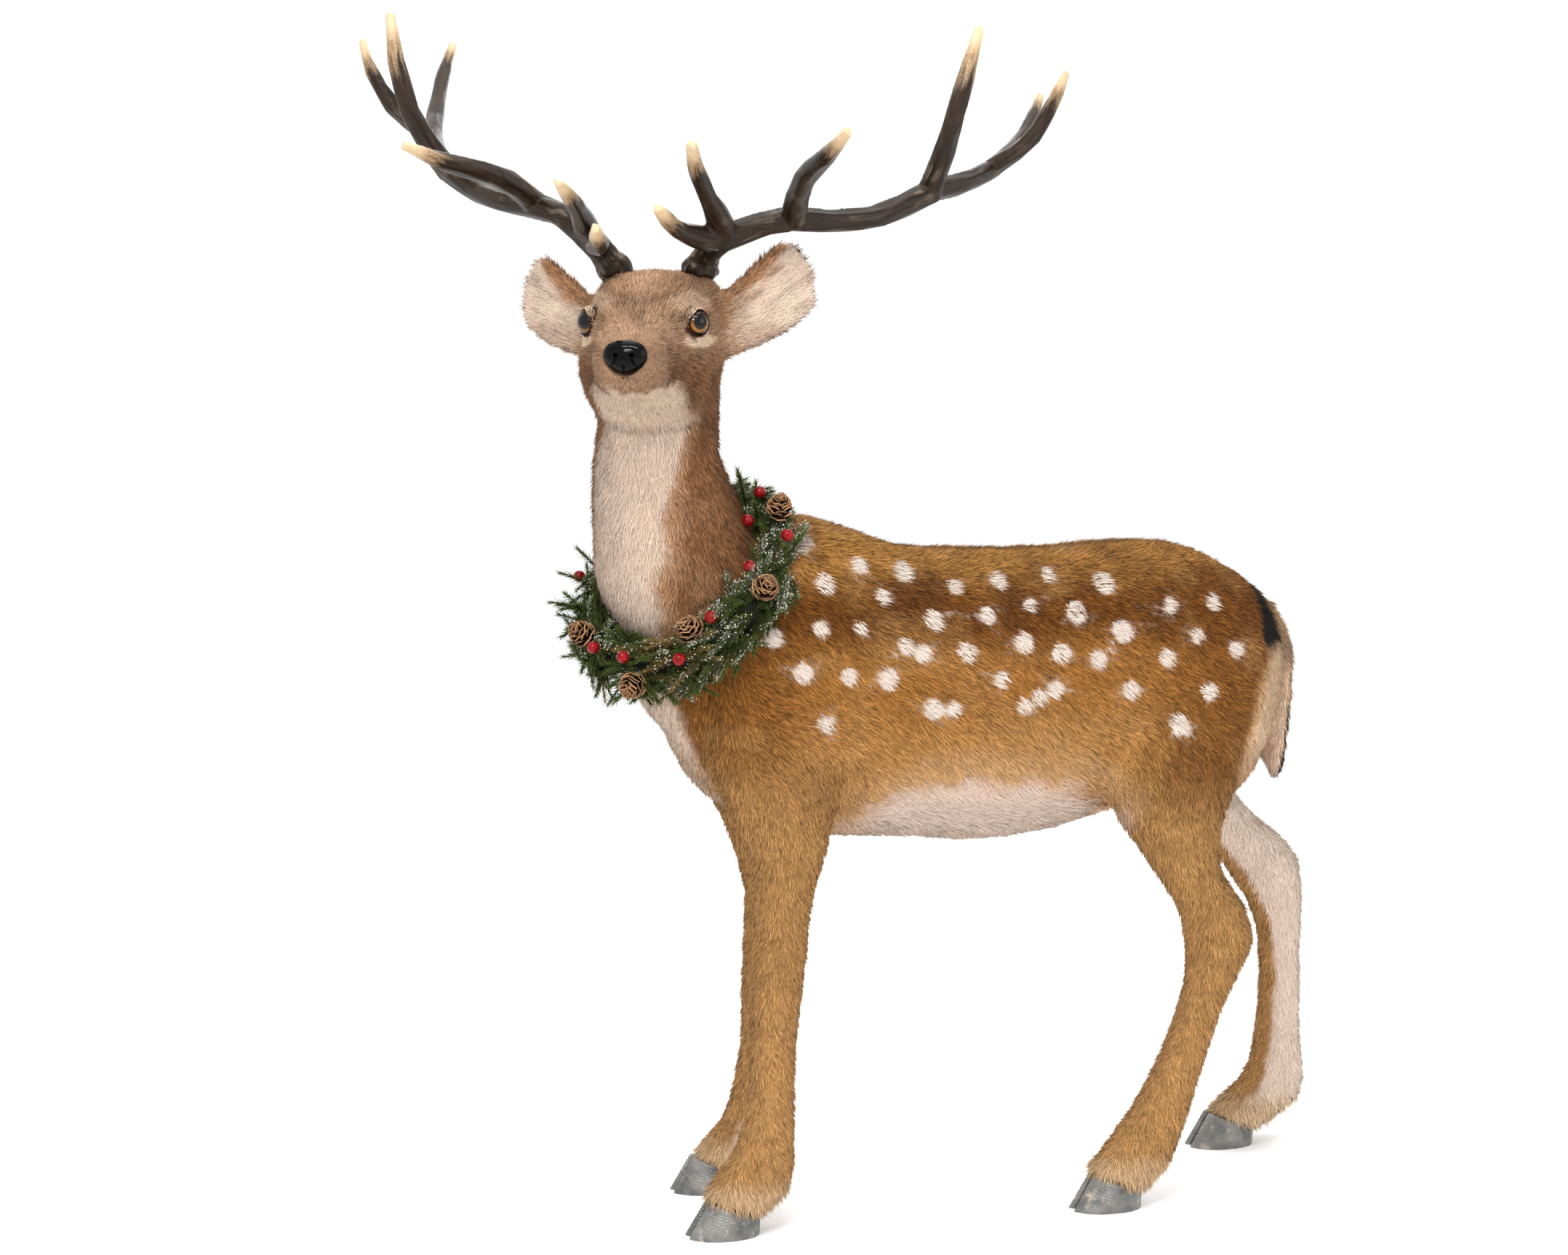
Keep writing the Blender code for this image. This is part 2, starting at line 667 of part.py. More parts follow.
def eye(label, side):
    bm = bmesh.new()
    bmesh.ops.create_uvsphere(bm, u_segments=10, v_segments=6, radius=EYE_RADIUS)
    place = HEAD_FRAME @ Vector((side * EYE_PLACE.x, EYE_PLACE.y, EYE_PLACE.z))
    bmesh.ops.translate(bm, vec=place, verts=bm.verts)
    return add_object(f"eye_{label}", bm)


def nose():
    """A rounded pad, wide at the top and narrow below."""
    bm = bmesh.new()
    bmesh.ops.create_uvsphere(bm, u_segments=12, v_segments=7, radius=1.0)
    for vertex in bm.verts:
        narrow = 1.0 - 0.34 * max(0.0, -vertex.co.z) ** 1.5
        vertex.co.x *= narrow * NOSE_HALF.x
        vertex.co.y *= NOSE_HALF.y
        vertex.co.z *= NOSE_HALF.z
    bmesh.ops.transform(bm, matrix=HEAD_FRAME @ Matrix.Translation(NOSE_PLACE), verts=bm.verts)
    return add_object("nose", bm)


def tail(body):
    """A flat leaf that hangs from the rump."""
    stations = [
        (0.770, 0, 0.780, 0.014, 0.012),
        (0.789, 0, 0.746, 0.024, 0.016),
        (0.797, 0, 0.704, 0.030, 0.018),
        (0.795, 0, 0.655, 0.034, 0.018),
        (0.791, 0, 0.610, 0.034, 0.018),
        (0.790, 0, 0.570, 0.026, 0.016),
        (0.797, 0, 0.540, 0.008, 0.007),
    ]
    obj = loft("tail", stations, Y_AXIS, Z_AXIS, sides=10, steps=1)
    boolean(obj, body, "DIFFERENCE")
    keep_largest(obj)
    return obj


def wreath_point(turn):
    """Centre-line of the wreath: turn 0 is its low side, and a quarter turn is the stag's left."""
    low = Vector((-math.cos(WREATH_LOW), -math.sin(WREATH_LOW), 0)) * WREATH_REACH
    low.z = -WREATH_DROP
    side = Vector((math.sin(WREATH_LOW), -math.cos(WREATH_LOW), 0)) * WREATH_SIDE
    return WREATH_CENTRE + low * math.cos(turn) + side * math.sin(turn)


def wreath_axes(turn):
    """Along the ring, outward from its centre, and square to both."""
    along = (wreath_point(turn + 0.01) - wreath_point(turn - 0.01)).normalized()
    out = wreath_point(turn) - WREATH_CENTRE
    out = (out - along * out.dot(along)).normalized()
    return along, out, along.cross(out)


def wreath_surface(turn, lean, reach):
    """A point round the ring's tube: lean 0 is outward, and a quarter turn is along the third axis."""
    along, out, over = wreath_axes(turn)
    return wreath_point(turn) + (out * math.cos(lean) + over * math.sin(lean)) * reach


def wreath_ring(body):
    """The ring of fir, with a ruffled tube and sprig tips that stand out of it."""
    count = 48
    bm = bmesh.new()
    rings = []
    for i in range(count):
        turn = 2 * math.pi * i / count
        ruffle = 1.0 + 0.10 * math.sin(7 * turn) + 0.07 * math.sin(12 * turn + 1.0)
        ring = []
        for k in range(12):
            ring.append(bm.verts.new(wreath_surface(turn, 2 * math.pi * k / 12, WREATH_TUBE * ruffle)))
        rings.append(ring)
    bridge_rings(bm, rings, closed=True)
    parts = [add_object("tube", bm)]
    sprigs = 26
    for i in range(sprigs):
        turn = 2 * math.pi * (i + 0.3 * math.sin(5 * i)) / sprigs
        lean = 1.25 * math.sin(2.4 * i)
        root = wreath_surface(turn, lean, WREATH_TUBE * 0.5)
        along, out, over = wreath_axes(turn)
        tip = wreath_surface(turn, lean, WREATH_TUBE * 1.30) + along * (0.030 * (-1) ** i)
        middle = (root + tip) / 2
        stations = [(*root, 0.012, 0.012), (*middle, 0.011, 0.011), (*tip, 0.004, 0.004)]
        parts.append(loft("sprig", stations, over, sides=8, steps=2, boxiness=2.0))
    obj = blend("wreath_ring", parts, 0.005, 3, WREATH_TRIANGLES)
    boolean(obj, body, "DIFFERENCE")
    keep_largest(obj)
    return obj


# Turn along the ring and lean round its tube of each cone and berry, in degrees.
CONES = [(10, -14), (46, -74), (86, -40), (136, -54), (-128, -34), (-100, -84), (-30, -72)]
BERRIES = [
    (8, -60), (36, -36), (58, -68), (92, -80), (116, -44), (134, -108), (152, -70),
    (-165, -40), (-150, -10), (-108, -50), (-84, -30), (-14, -66),
]


def cone(name, turn, lean):
    """A pine cone that points out of the wreath: an egg, blunt at its base."""
    base = wreath_surface(turn, lean, WREATH_TUBE * 0.85)
    tip = wreath_surface(turn, lean, WREATH_TUBE * 0.85 + CONE_LENGTH)
    spans = [(0.0, 0.60), (0.25, 1.0), (0.70, 0.80), (1.0, 0.28)]
    stations = [(*base.lerp(tip, t), CONE_RADIUS * r, CONE_RADIUS * r) for t, r in spans]
    return loft(name, stations, wreath_axes(turn)[0], sides=7, steps=1, boxiness=2.0)


def berry(name, turn, lean):
    bm = bmesh.new()
    bmesh.ops.create_uvsphere(bm, u_segments=6, v_segments=4, radius=BERRY_RADIUS)
    place = wreath_surface(turn, lean, WREATH_TUBE * 1.12 + BERRY_RADIUS)
    bmesh.ops.translate(bm, vec=place, verts=bm.verts)
    return add_object(name, bm)


def paint(objects, made):
    for obj in objects:
        obj.data.materials.clear()
        obj.data.materials.append(made)


def centre_on_floor(objects):
    """Moves all the objects so that the origin is the bottom centre of their bounding box."""
    corners = [vertex.co for obj in objects for vertex in obj.data.vertices]
    low = Vector([min(c[i] for c in corners) for i in range(3)])
    high = Vector([max(c[i] for c in corners) for i in range(3)])
    shift = Matrix.Translation(Vector((-(low.x + high.x) / 2, -(low.y + high.y) / 2, 0)))
    for obj in objects:
        obj.data.transform(shift)


def build():
    clear_scene()
    parts = trunk_parts() + neck_parts() + head_parts()
    parts += [ear_part(1), ear_part(-1)]
    parts += [leg_part(label) for label in LEGS]
    body = blend("trunk", parts, VOXEL, 4, BODY_TRIANGLES)

    hooves = []
    for label in LEGS:
        sole = sole_of(label)
        under = block("under", (-0.2, -0.1, -0.2), (0.2, 0.1, GAP / 2), coronet_frame(sole))
        boolean(body, under, "DIFFERENCE")
        bpy.data.objects.remove(under)
        hooves.append(hoof(f"hoof_{label}", sole))
    keep_largest(body)

    near_body = copy_of(body, "near_body", GAP)
    tail_node = tail(near_body)
    ring = wreath_ring(near_body)

    eyes = [eye("right", 1), eye("left", -1)]
    pad = nose()
    for piece in [*eyes, pad]:
        grown = copy_of(piece, "grown", GAP)
        boolean(body, grown, "DIFFERENCE")
        bpy.data.objects.remove(grown)
    antlers = antler(-1, "left", near_body) + antler(1, "right", near_body)

    flesh = [body]
    for label, side in (("right", 1), ("left", -1)):
        low, high = EAR_BOX
        near, far = sorted((side * low.x, side * high.x))
        flesh.append(part_off(body, f"ear_{label}", (near, *low.yz), (far, *high.yz), HEAD_FRAME))
    for label in LEGS:
        low, high = FORE_QUARTER if label.startswith("front") else HIND_QUARTER
        near, far = sorted((side_of(label) * LEG_INNER, side_of(label) * FAR_SIDE))
        lean = HIND_LEAN if label.startswith("hind") else 0.0
        place = Matrix.Translation((low.x, 0, low.z)) @ Matrix.Rotation(lean, 4, "Y")
        size = high - low
        flesh.append(part_off(body, f"leg_{label}", (0, near, -LEG_REACH), (size.x, far, size.z), place))
    level = Matrix.Translation((0, 0, THROAT_LEVEL))
    flesh.append(part_off(body, "head", (-0.5, -0.5, 0.0), (0.5, 0.5, 0.5), level))
    slope = Matrix.Rotation(math.atan2(WREATH_DROP, WREATH_REACH), 4, "Y")
    hung = Matrix.Translation(WREATH_CENTRE) @ Matrix.Rotation(WREATH_LOW, 4, "Z") @ slope.inverted()
    flesh.append(part_off(body, "neck", (-0.3, -0.3, 0.0), (0.3, 0.3, 0.5), hung))

    cones = []
    for i, (turn, lean) in enumerate(CONES):
        cones.append(cone(f"wreath_cone_{i + 1}", math.radians(turn), math.radians(lean)))
    berries = []
    for i, (turn, lean) in enumerate(BERRIES):
        berries.append(berry(f"wreath_berry_{i + 1}", math.radians(turn), math.radians(lean)))
    for piece in cones + berries:
        boolean(piece, near_body, "DIFFERENCE")
        grown = copy_of(piece, "grown", GAP)
        boolean(ring, grown, "DIFFERENCE")
        bpy.data.objects.remove(grown)
    keep_largest(ring)
    bpy.data.objects.remove(near_body)

    paint(flesh + [tail_node], material("plush", (0.40, 0.24, 0.11), 0.9))
    paint(hooves, material("hoof_paint", (0.30, 0.31, 0.31), 0.45, 0.3))
    paint(antlers, material("antler_resin", (0.10, 0.075, 0.055), 0.4))
    paint(eyes, material("eye_glass", (0.02, 0.015, 0.01), 0.08))
    paint([pad], material("nose_plastic", (0.01, 0.01, 0.01), 0.15))
    paint([ring], material("fir", (0.05, 0.12, 0.06), 0.8))
    paint(cones, material("pine_cone", (0.25, 0.13, 0.06), 0.7))
    paint(berries, material("berry", (0.45, 0.02, 0.03), 0.2))
    centre_on_floor(flesh + hooves + antlers + eyes + [pad, ring, tail_node] + cones + berries)


build()
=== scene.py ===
import math

import bmesh
import bpy
import numpy as np
from mathutils import Matrix, Vector
from mathutils.bvhtree import BVHTree


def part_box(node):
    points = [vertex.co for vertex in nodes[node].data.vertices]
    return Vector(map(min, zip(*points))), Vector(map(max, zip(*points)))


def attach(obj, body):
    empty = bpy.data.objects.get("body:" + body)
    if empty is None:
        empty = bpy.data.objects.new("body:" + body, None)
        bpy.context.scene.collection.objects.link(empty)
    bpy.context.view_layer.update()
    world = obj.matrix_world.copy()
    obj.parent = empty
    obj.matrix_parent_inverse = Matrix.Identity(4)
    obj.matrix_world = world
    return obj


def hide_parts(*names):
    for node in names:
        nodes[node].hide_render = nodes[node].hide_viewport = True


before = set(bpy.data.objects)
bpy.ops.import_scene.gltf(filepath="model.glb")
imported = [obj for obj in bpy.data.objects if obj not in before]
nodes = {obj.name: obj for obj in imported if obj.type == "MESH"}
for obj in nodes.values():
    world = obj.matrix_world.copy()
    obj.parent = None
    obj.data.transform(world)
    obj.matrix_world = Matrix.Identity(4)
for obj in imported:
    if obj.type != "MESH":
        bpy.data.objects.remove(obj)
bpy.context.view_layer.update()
dice = np.random.default_rng(11)
print("the frame is loaded")

# The stance frame has its x = 0 at the left fore sole and its y = 0 in the middle of the body.
# In the head frame x is to the stag's right, y out of its face and z up.
soleLow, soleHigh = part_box("hoof_front_left")
stance = Vector(((soleLow.x + soleHigh.x) / 2 + 0.0009, (soleLow.y + soleHigh.y) / 2 + 0.105, 0.0))
headFrame = Matrix.Translation(stance + Vector((-0.055, 0.0, 1.219))) @ Matrix.Rotation(math.radians(154.4), 4, "Z")
headTurn, headPlace = np.array(headFrame.to_3x3()), np.array(headFrame.translation)


def paint(red, green, blue):  # a colour given from 0 to 255 as it looks, made linear
    shares = (red / 255, green / 255, blue / 255)
    return tuple(c / 12.92 if c < 0.04045 else ((c + 0.055) / 1.055) ** 2.4 for c in shares)


def colourOf(*rgb):
    return np.array(paint(*rgb))


def smoothStep(low, high, value):
    t = np.clip((value - low) / (high - low), 0.0, 1.0)
    return t * t * (3 - 2 * t)


def mixed(first, second, share):
    return first + (second - first) * np.asarray(share)[..., None]


def softNoise(points, size, seed=0):  # smooth noise from -1 to 1, in blobs of about that size
    place = points / size + seed * 17.31
    cell = np.floor(place).astype(np.int64)
    t = place - cell
    t = t * t * (3 - 2 * t)
    total = np.zeros(len(points))
    for corner in range(8):
        step = np.array([corner & 1, corner >> 1 & 1, corner >> 2])
        mix = (cell + step) * np.array([73856093, 19349663, 83492791])
        mix = mix[:, 0] ^ mix[:, 1] ^ mix[:, 2]
        mix = ((mix ^ (mix >> 13)) * 1274126177) & 0x7FFFFFFF
        weight = np.prod(np.where(step, t, 1 - t), axis=1)
        total += weight * (mix / 0x3FFFFFFF - 1)
    return total


def placed(name, data):  # a new object in the scene
    thing = bpy.data.objects.new(name, data)
    bpy.context.scene.collection.objects.link(thing)
    return thing


def addPiece(name, mesh, material, slot, *stands):
    mesh.materials.clear()
    mesh.materials.append(material)
    piece = placed(name, mesh)
    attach(piece, "root")
    if stands:
        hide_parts(*stands)
    return piece


def shadeSmooth(mesh):
    mesh.polygons.foreach_set("use_smooth", np.full(len(mesh.polygons), True))


def meshFrom(name, bm):
    mesh = bpy.data.meshes.new(name)
    bm.to_mesh(mesh)
    bm.free()
    shadeSmooth(mesh)
    return mesh


def meshFromArrays(name, points, faces, smooth=True):
    mesh = bpy.data.meshes.new(name)
    sides = faces.shape[1]
    mesh.vertices.add(len(points))
    mesh.vertices.foreach_set("co", points.astype(np.float32).ravel())
    mesh.loops.add(faces.size)
    mesh.loops.foreach_set("vertex_index", faces.astype(np.int32).ravel())
    mesh.polygons.add(len(faces))
    mesh.polygons.foreach_set("loop_start", np.arange(0, faces.size, sides, dtype=np.int32))
    mesh.polygons.foreach_set("use_smooth", np.full(len(faces), smooth))
    mesh.update(calc_edges=True)
    return mesh


def nodeCopy(*names):  # a merged copy of CAD nodes
    bm = bmesh.new()
    for name in names:
        bm.from_mesh(nodes[name].data)
    bmesh.ops.remove_doubles(bm, verts=bm.verts, dist=1e-5)
    return bm


def swollen(bm, amount):  # pushed out a little, which closes the cuts between the nodes
    bmesh.ops.recalc_face_normals(bm, faces=bm.faces)
    bm.normal_update()
    for vertex in bm.verts:
        vertex.co += vertex.normal * amount
    return bm


def remeshed(bm, name, voxel):  # one closed skin round what the bmesh holds
    piece = placed(name, meshFrom(name, bm))
    modifier = piece.modifiers.new("remesh", "REMESH")
    modifier.mode = "VOXEL"
    modifier.voxel_size = voxel
    mesh = appliedMesh(piece)
    bpy.data.objects.remove(piece)
    return mesh


def appliedMesh(piece):
    graph = bpy.context.evaluated_depsgraph_get()
    return bpy.data.meshes.new_from_object(piece.evaluated_get(graph), depsgraph=graph)


def readArray(rows, name, width, kind=np.float32):
    values = np.empty(len(rows) * width, kind)
    rows.foreach_get(name, values)
    return values.reshape(-1, width)


def pointsOf(mesh):
    return readArray(mesh.vertices, "co", 3).astype(float)


def setPoints(mesh, points):
    mesh.vertices.foreach_set("co", points.astype(np.float32).ravel())
    mesh.update()


def normalsOf(mesh):
    return readArray(mesh.vertex_normals, "vector", 3).astype(float)


def edgesOf(mesh):
    return readArray(mesh.edges, "vertices", 2, np.int32)


def relaxed(values, edges, rounds, shrinkless=True):  # each value moves toward its neighbours' mean
    count = np.maximum(np.bincount(edges.ravel(), minlength=len(values)), 1)[:, None]
    for step in range(rounds * (2 if shrinkless else 1)):
        total = np.empty_like(values)
        for axis in range(values.shape[1]):
            total[:, axis] = np.bincount(edges[:, 0], values[edges[:, 1], axis], len(values))
            total[:, axis] += np.bincount(edges[:, 1], values[edges[:, 0], axis], len(values))
        values = values + (0.5 if step % 2 == 0 or not shrinkless else -0.53) * (total / count - values)
    return values


def setAttribute(mesh, name, values):  # one value for each vertex: a number, a vector or a colour
    values = np.asarray(values, np.float32)
    if values.ndim == 1:
        mesh.attributes.new(name, "FLOAT", "POINT").data.foreach_set("value", values)
    elif name.endswith("Colour"):
        rgba = np.ones((len(values), 4), np.float32)
        rgba[:, :3] = np.clip(values, 0, 1)
        mesh.attributes.new(name, "FLOAT_COLOR", "POINT").data.foreach_set("color", rgba.ravel())
    else:
        mesh.attributes.new(name, "FLOAT_VECTOR", "POINT").data.foreach_set("vector", values.ravel())


def unit(vectors):
    return vectors / np.maximum(np.linalg.norm(vectors, axis=-1, keepdims=True), 1e-9)


def inHead(points):
    return (points - headPlace) @ headTurn


def inStance(points):
    return points - np.array(stance)


def newGroup(name, inputs, outputs):
    tree = bpy.data.node_groups.new(name, "ShaderNodeTree")
    for socket, kind, value in inputs:
        made = tree.interface.new_socket(socket, in_out="INPUT", socket_type=kind)
        if value is not None:
            made.default_value = value
    for socket, kind in outputs:
        tree.interface.new_socket(socket, in_out="OUTPUT", socket_type=kind)
    return tree, tree.nodes.new("NodeGroupInput"), tree.nodes.new("NodeGroupOutput")


def addNode(tree, kind, **values):  # values are settings of the node, or of its inputs by name
    node = tree.nodes.new(kind)
    for name, value in values.items():
        if hasattr(node, name):
            setattr(node, name, value)
        else:
            node.inputs[name].default_value = value
    return node


def blotchGroup():  # a mask of soft blotches on Object coordinates
    tree, given, out = newGroup(
        "blotches", [("Size", "NodeSocketFloat", 20.0), ("Low", "NodeSocketFloat", 0.4),
                     ("High", "NodeSocketFloat", 0.6)],
        [("Mask", "NodeSocketFloat")])
    place = addNode(tree, "ShaderNodeTexCoord")
    cloud = addNode(tree, "ShaderNodeTexNoise", Detail=4.0, Roughness=0.6)
    span = addNode(tree, "ShaderNodeMapRange")
    tree.links.new(place.outputs["Object"], cloud.inputs["Vector"])
    tree.links.new(given.outputs["Size"], cloud.inputs["Scale"])
    tree.links.new(cloud.outputs["Fac"], span.inputs["Value"])
    tree.links.new(given.outputs["Low"], span.inputs["From Min"])
    tree.links.new(given.outputs["High"], span.inputs["From Max"])
    tree.links.new(span.outputs["Result"], out.inputs["Mask"])
    return tree


def reliefGroup():  # a normal with fine grain at two sizes
    tree, given, out = newGroup(
        "relief", [("Coarse", "NodeSocketFloat", 200.0), ("Fine", "NodeSocketFloat", 900.0),
                   ("Depth", "NodeSocketFloat", 0.001), ("Vector", "NodeSocketVector", None)],
        [("Normal", "NodeSocketVector"), ("Grain", "NodeSocketFloat")])
    coarse = addNode(tree, "ShaderNodeTexNoise", Detail=3.0)
    fine = addNode(tree, "ShaderNodeTexNoise", Detail=2.0)
    both = addNode(tree, "ShaderNodeMath", operation="ADD")
    bump = addNode(tree, "ShaderNodeBump", Strength=1.0)
    for noise, size in ((coarse, "Coarse"), (fine, "Fine")):
        tree.links.new(given.outputs["Vector"], noise.inputs["Vector"])
        tree.links.new(given.outputs[size], noise.inputs["Scale"])
    tree.links.new(coarse.outputs["Fac"], both.inputs[0])
    tree.links.new(fine.outputs["Fac"], both.inputs[1])
    tree.links.new(both.outputs["Value"], bump.inputs["Height"])
    tree.links.new(given.outputs["Depth"], bump.inputs["Distance"])
    tree.links.new(bump.outputs["Normal"], out.inputs["Normal"])
    tree.links.new(both.outputs["Value"], out.inputs["Grain"])
    return tree


def surface(name, roughness, **values):
    material = bpy.data.materials.new(name)
    material.use_nodes = True
    shader = material.node_tree.nodes["Principled BSDF"]
    shader.inputs["Roughness"].default_value = roughness
    for socket, value in values.items():
        shader.inputs[socket.replace("_", " ")].default_value = value
    return material, material.node_tree, shader


def useGroup(tree, group, **values):
    node = tree.nodes.new("ShaderNodeGroup")
    node.node_tree = group
    for name, value in values.items():
        node.inputs[name].default_value = value
    return node


def mixColours(tree, mask, first, second, blend="MIX"):  # each end is a socket or a fixed colour
    node = tree.nodes.new("ShaderNodeMix")
    node.data_type = "RGBA"
    node.blend_type = blend
    if isinstance(mask, float):
        node.inputs["Factor"].default_value = mask
    else:
        tree.links.new(mask, node.inputs["Factor"])
    for socket, value in ((node.inputs[6], first), (node.inputs[7], second)):
        if isinstance(value, tuple):
            socket.default_value = (*value, 1.0)
        else:
            tree.links.new(value, socket)
    return node.outputs[2]


def attribute(tree, name, output="Fac"):
    return addNode(tree, "ShaderNodeAttribute", attribute_name=name).outputs[output]


def mapped(tree, value, low, high, toLow=0.0, toHigh=1.0):
    node = addNode(tree, "ShaderNodeMapRange")
    for name, number in (("From Min", low), ("From Max", high), ("To Min", toLow), ("To Max", toHigh)):
        node.inputs[name].default_value = number
    tree.links.new(value, node.inputs["Value"])
    return node.outputs["Result"]


blotches = blotchGroup()
relief = reliefGroup()


def grained(tree, shader, coarse, fine, depth):  # relief on the piece's own coordinates; gives its grain as a value
    place = addNode(tree, "ShaderNodeTexCoord")
    grain = useGroup(tree, relief, Coarse=coarse, Fine=fine, Depth=depth)
    tree.links.new(place.outputs["Object"], grain.inputs["Vector"])
    tree.links.new(grain.outputs["Normal"], shader.inputs["Normal"])
    return grain.outputs["Grain"]


def furMaterial(name, roughness, coarse, fine, depth):
    material, tree, shader = surface(name, roughness, Sheen_Weight=0.03, Sheen_Roughness=0.5, Specular_IOR_Level=0.08)
    grain = grained(tree, shader, coarse, fine, depth)
    shade = mapped(tree, grain, 0.6, 1.4, 0.82, 1.12)
    colour = mixColours(tree, 1.0, attribute(tree, "coatColour", "Color"), shade, "MULTIPLY")
    tree.links.new(colour, shader.inputs["Base Color"])
    return material


markings = {
    "back": (178, 126, 64), "upperFlank": (110, 66, 25), "flank": (168, 114, 56), "lowerFlank": (189, 137, 78),
    "haunch": (119, 72, 27), "belly": (246, 218, 200), "bellyEdge": (216, 170, 122), "mottle": (78, 48, 24),
    "spot": (250, 232, 218), "dorsal": (66, 52, 40),
    "neckStripe": (238, 211, 189), "neckEdge": (190, 146, 110), "neckSide": (138, 95, 62), "nape": (88, 54, 30),
    "legOuter": (184, 137, 84), "legInner": (252, 226, 206), "legLow": (200, 150, 95), "fringe": (228, 192, 150),
    "rumpWhite": (246, 206, 168), "rumpBlack": (30, 26, 23), "tailUnder": (226, 196, 174), "tailBack": (36, 30, 26),
    "head": (150, 116, 88), "headCentre": (186, 150, 122), "headStreak": (92, 70, 54), "eyeRim": (232, 202, 172),
    "muzzle": (164, 129, 102), "jaw": (226, 200, 176), "cheek": (122, 86, 58), "felt": (50, 26, 20),
    "earInner": (242, 216, 194), "earOuter": (146, 104, 70), "earBase": (172, 120, 78), "earCreaseShade": (178, 156, 138),
}
tone = {name: colourOf(*rgb) for name, rgb in markings.items()}

# Rows of spots on each side: centimetres back from the fore sole and up, and the spot's radius in millimetres.
spotRows = [
    (11.5, 87.5, 13), (18.5, 84.5, 10), (24.5, 83.5, 13), (8.0, 82.0, 12), (13.5, 82.5, 13.5), (21.0, 80.5, 11),
    (31.0, 81.5, 9), (37.0, 82.0, 11), (44.0, 82.5, 9.5), (51.0, 81.5, 13.5), (27.5, 77.5, 13), (34.5, 78.0, 10.5),
    (40.5, 79.0, 9.5), (46.5, 78.0, 14), (12.5, 77.0, 11), (17.5, 77.0, 10), (6.5, 76.0, 13), (39.0, 74.5, 13.5),
    (52.5, 75.5, 14), (23.5, 74.5, 12), (25.5, 73.5, 12), (31.5, 73.5, 13), (44.0, 73.0, 13), (49.0, 72.0, 12),
    (10.0, 71.5, 13), (16.0, 71.0, 11), (21.0, 70.5, 14), (36.0, 70.0, 10.5), (43.0, 68.5, 12.5), (41.0, 67.5, 11.5),
    (39.0, 66.5, 11), (27.0, 66.5, 14.5), (29.5, 66.5, 11), (13.0, 65.0, 12.5), (53.5, 68.0, 13), (59.5, 78.5, 11),
    (66.0, 78.5, 11.5), (63.0, 74.5, 10), (68.5, 72.5, 10.5), (58.5, 72.0, 11), (64.0, 67.5, 11), (59.5, 63.5, 15),
]
# Height, bearing and half breadth in degrees of the pale stripe down the neck; bearing 0 is toward -Y.
neckStripe = {"height": [0.68, 0.76, 0.838, 0.928, 1.018, 1.08], "bearing": [90, 78, 66, 53, 29, 24],
              "half": [36, 32, 34, 39, 46, 50]}

groupNames = ["trunk", "neck", "head", "ear_right", "ear_left", "leg_front_left", "leg_front_right", "leg_hind_left",
              "leg_hind_right", "tail"]


def neckAxis(height):
    heights = [0.695, 0.765, 0.825, 0.880, 0.935, 0.990, 1.035, 1.085]
    return np.interp(height, heights, [0.016, 0.004, -0.022, -0.035, -0.049, -0.059, -0.057, -0.060]), \
        np.interp(height, heights, [0, 0, 0, 0, -0.002, -0.005, -0.010, -0.020])


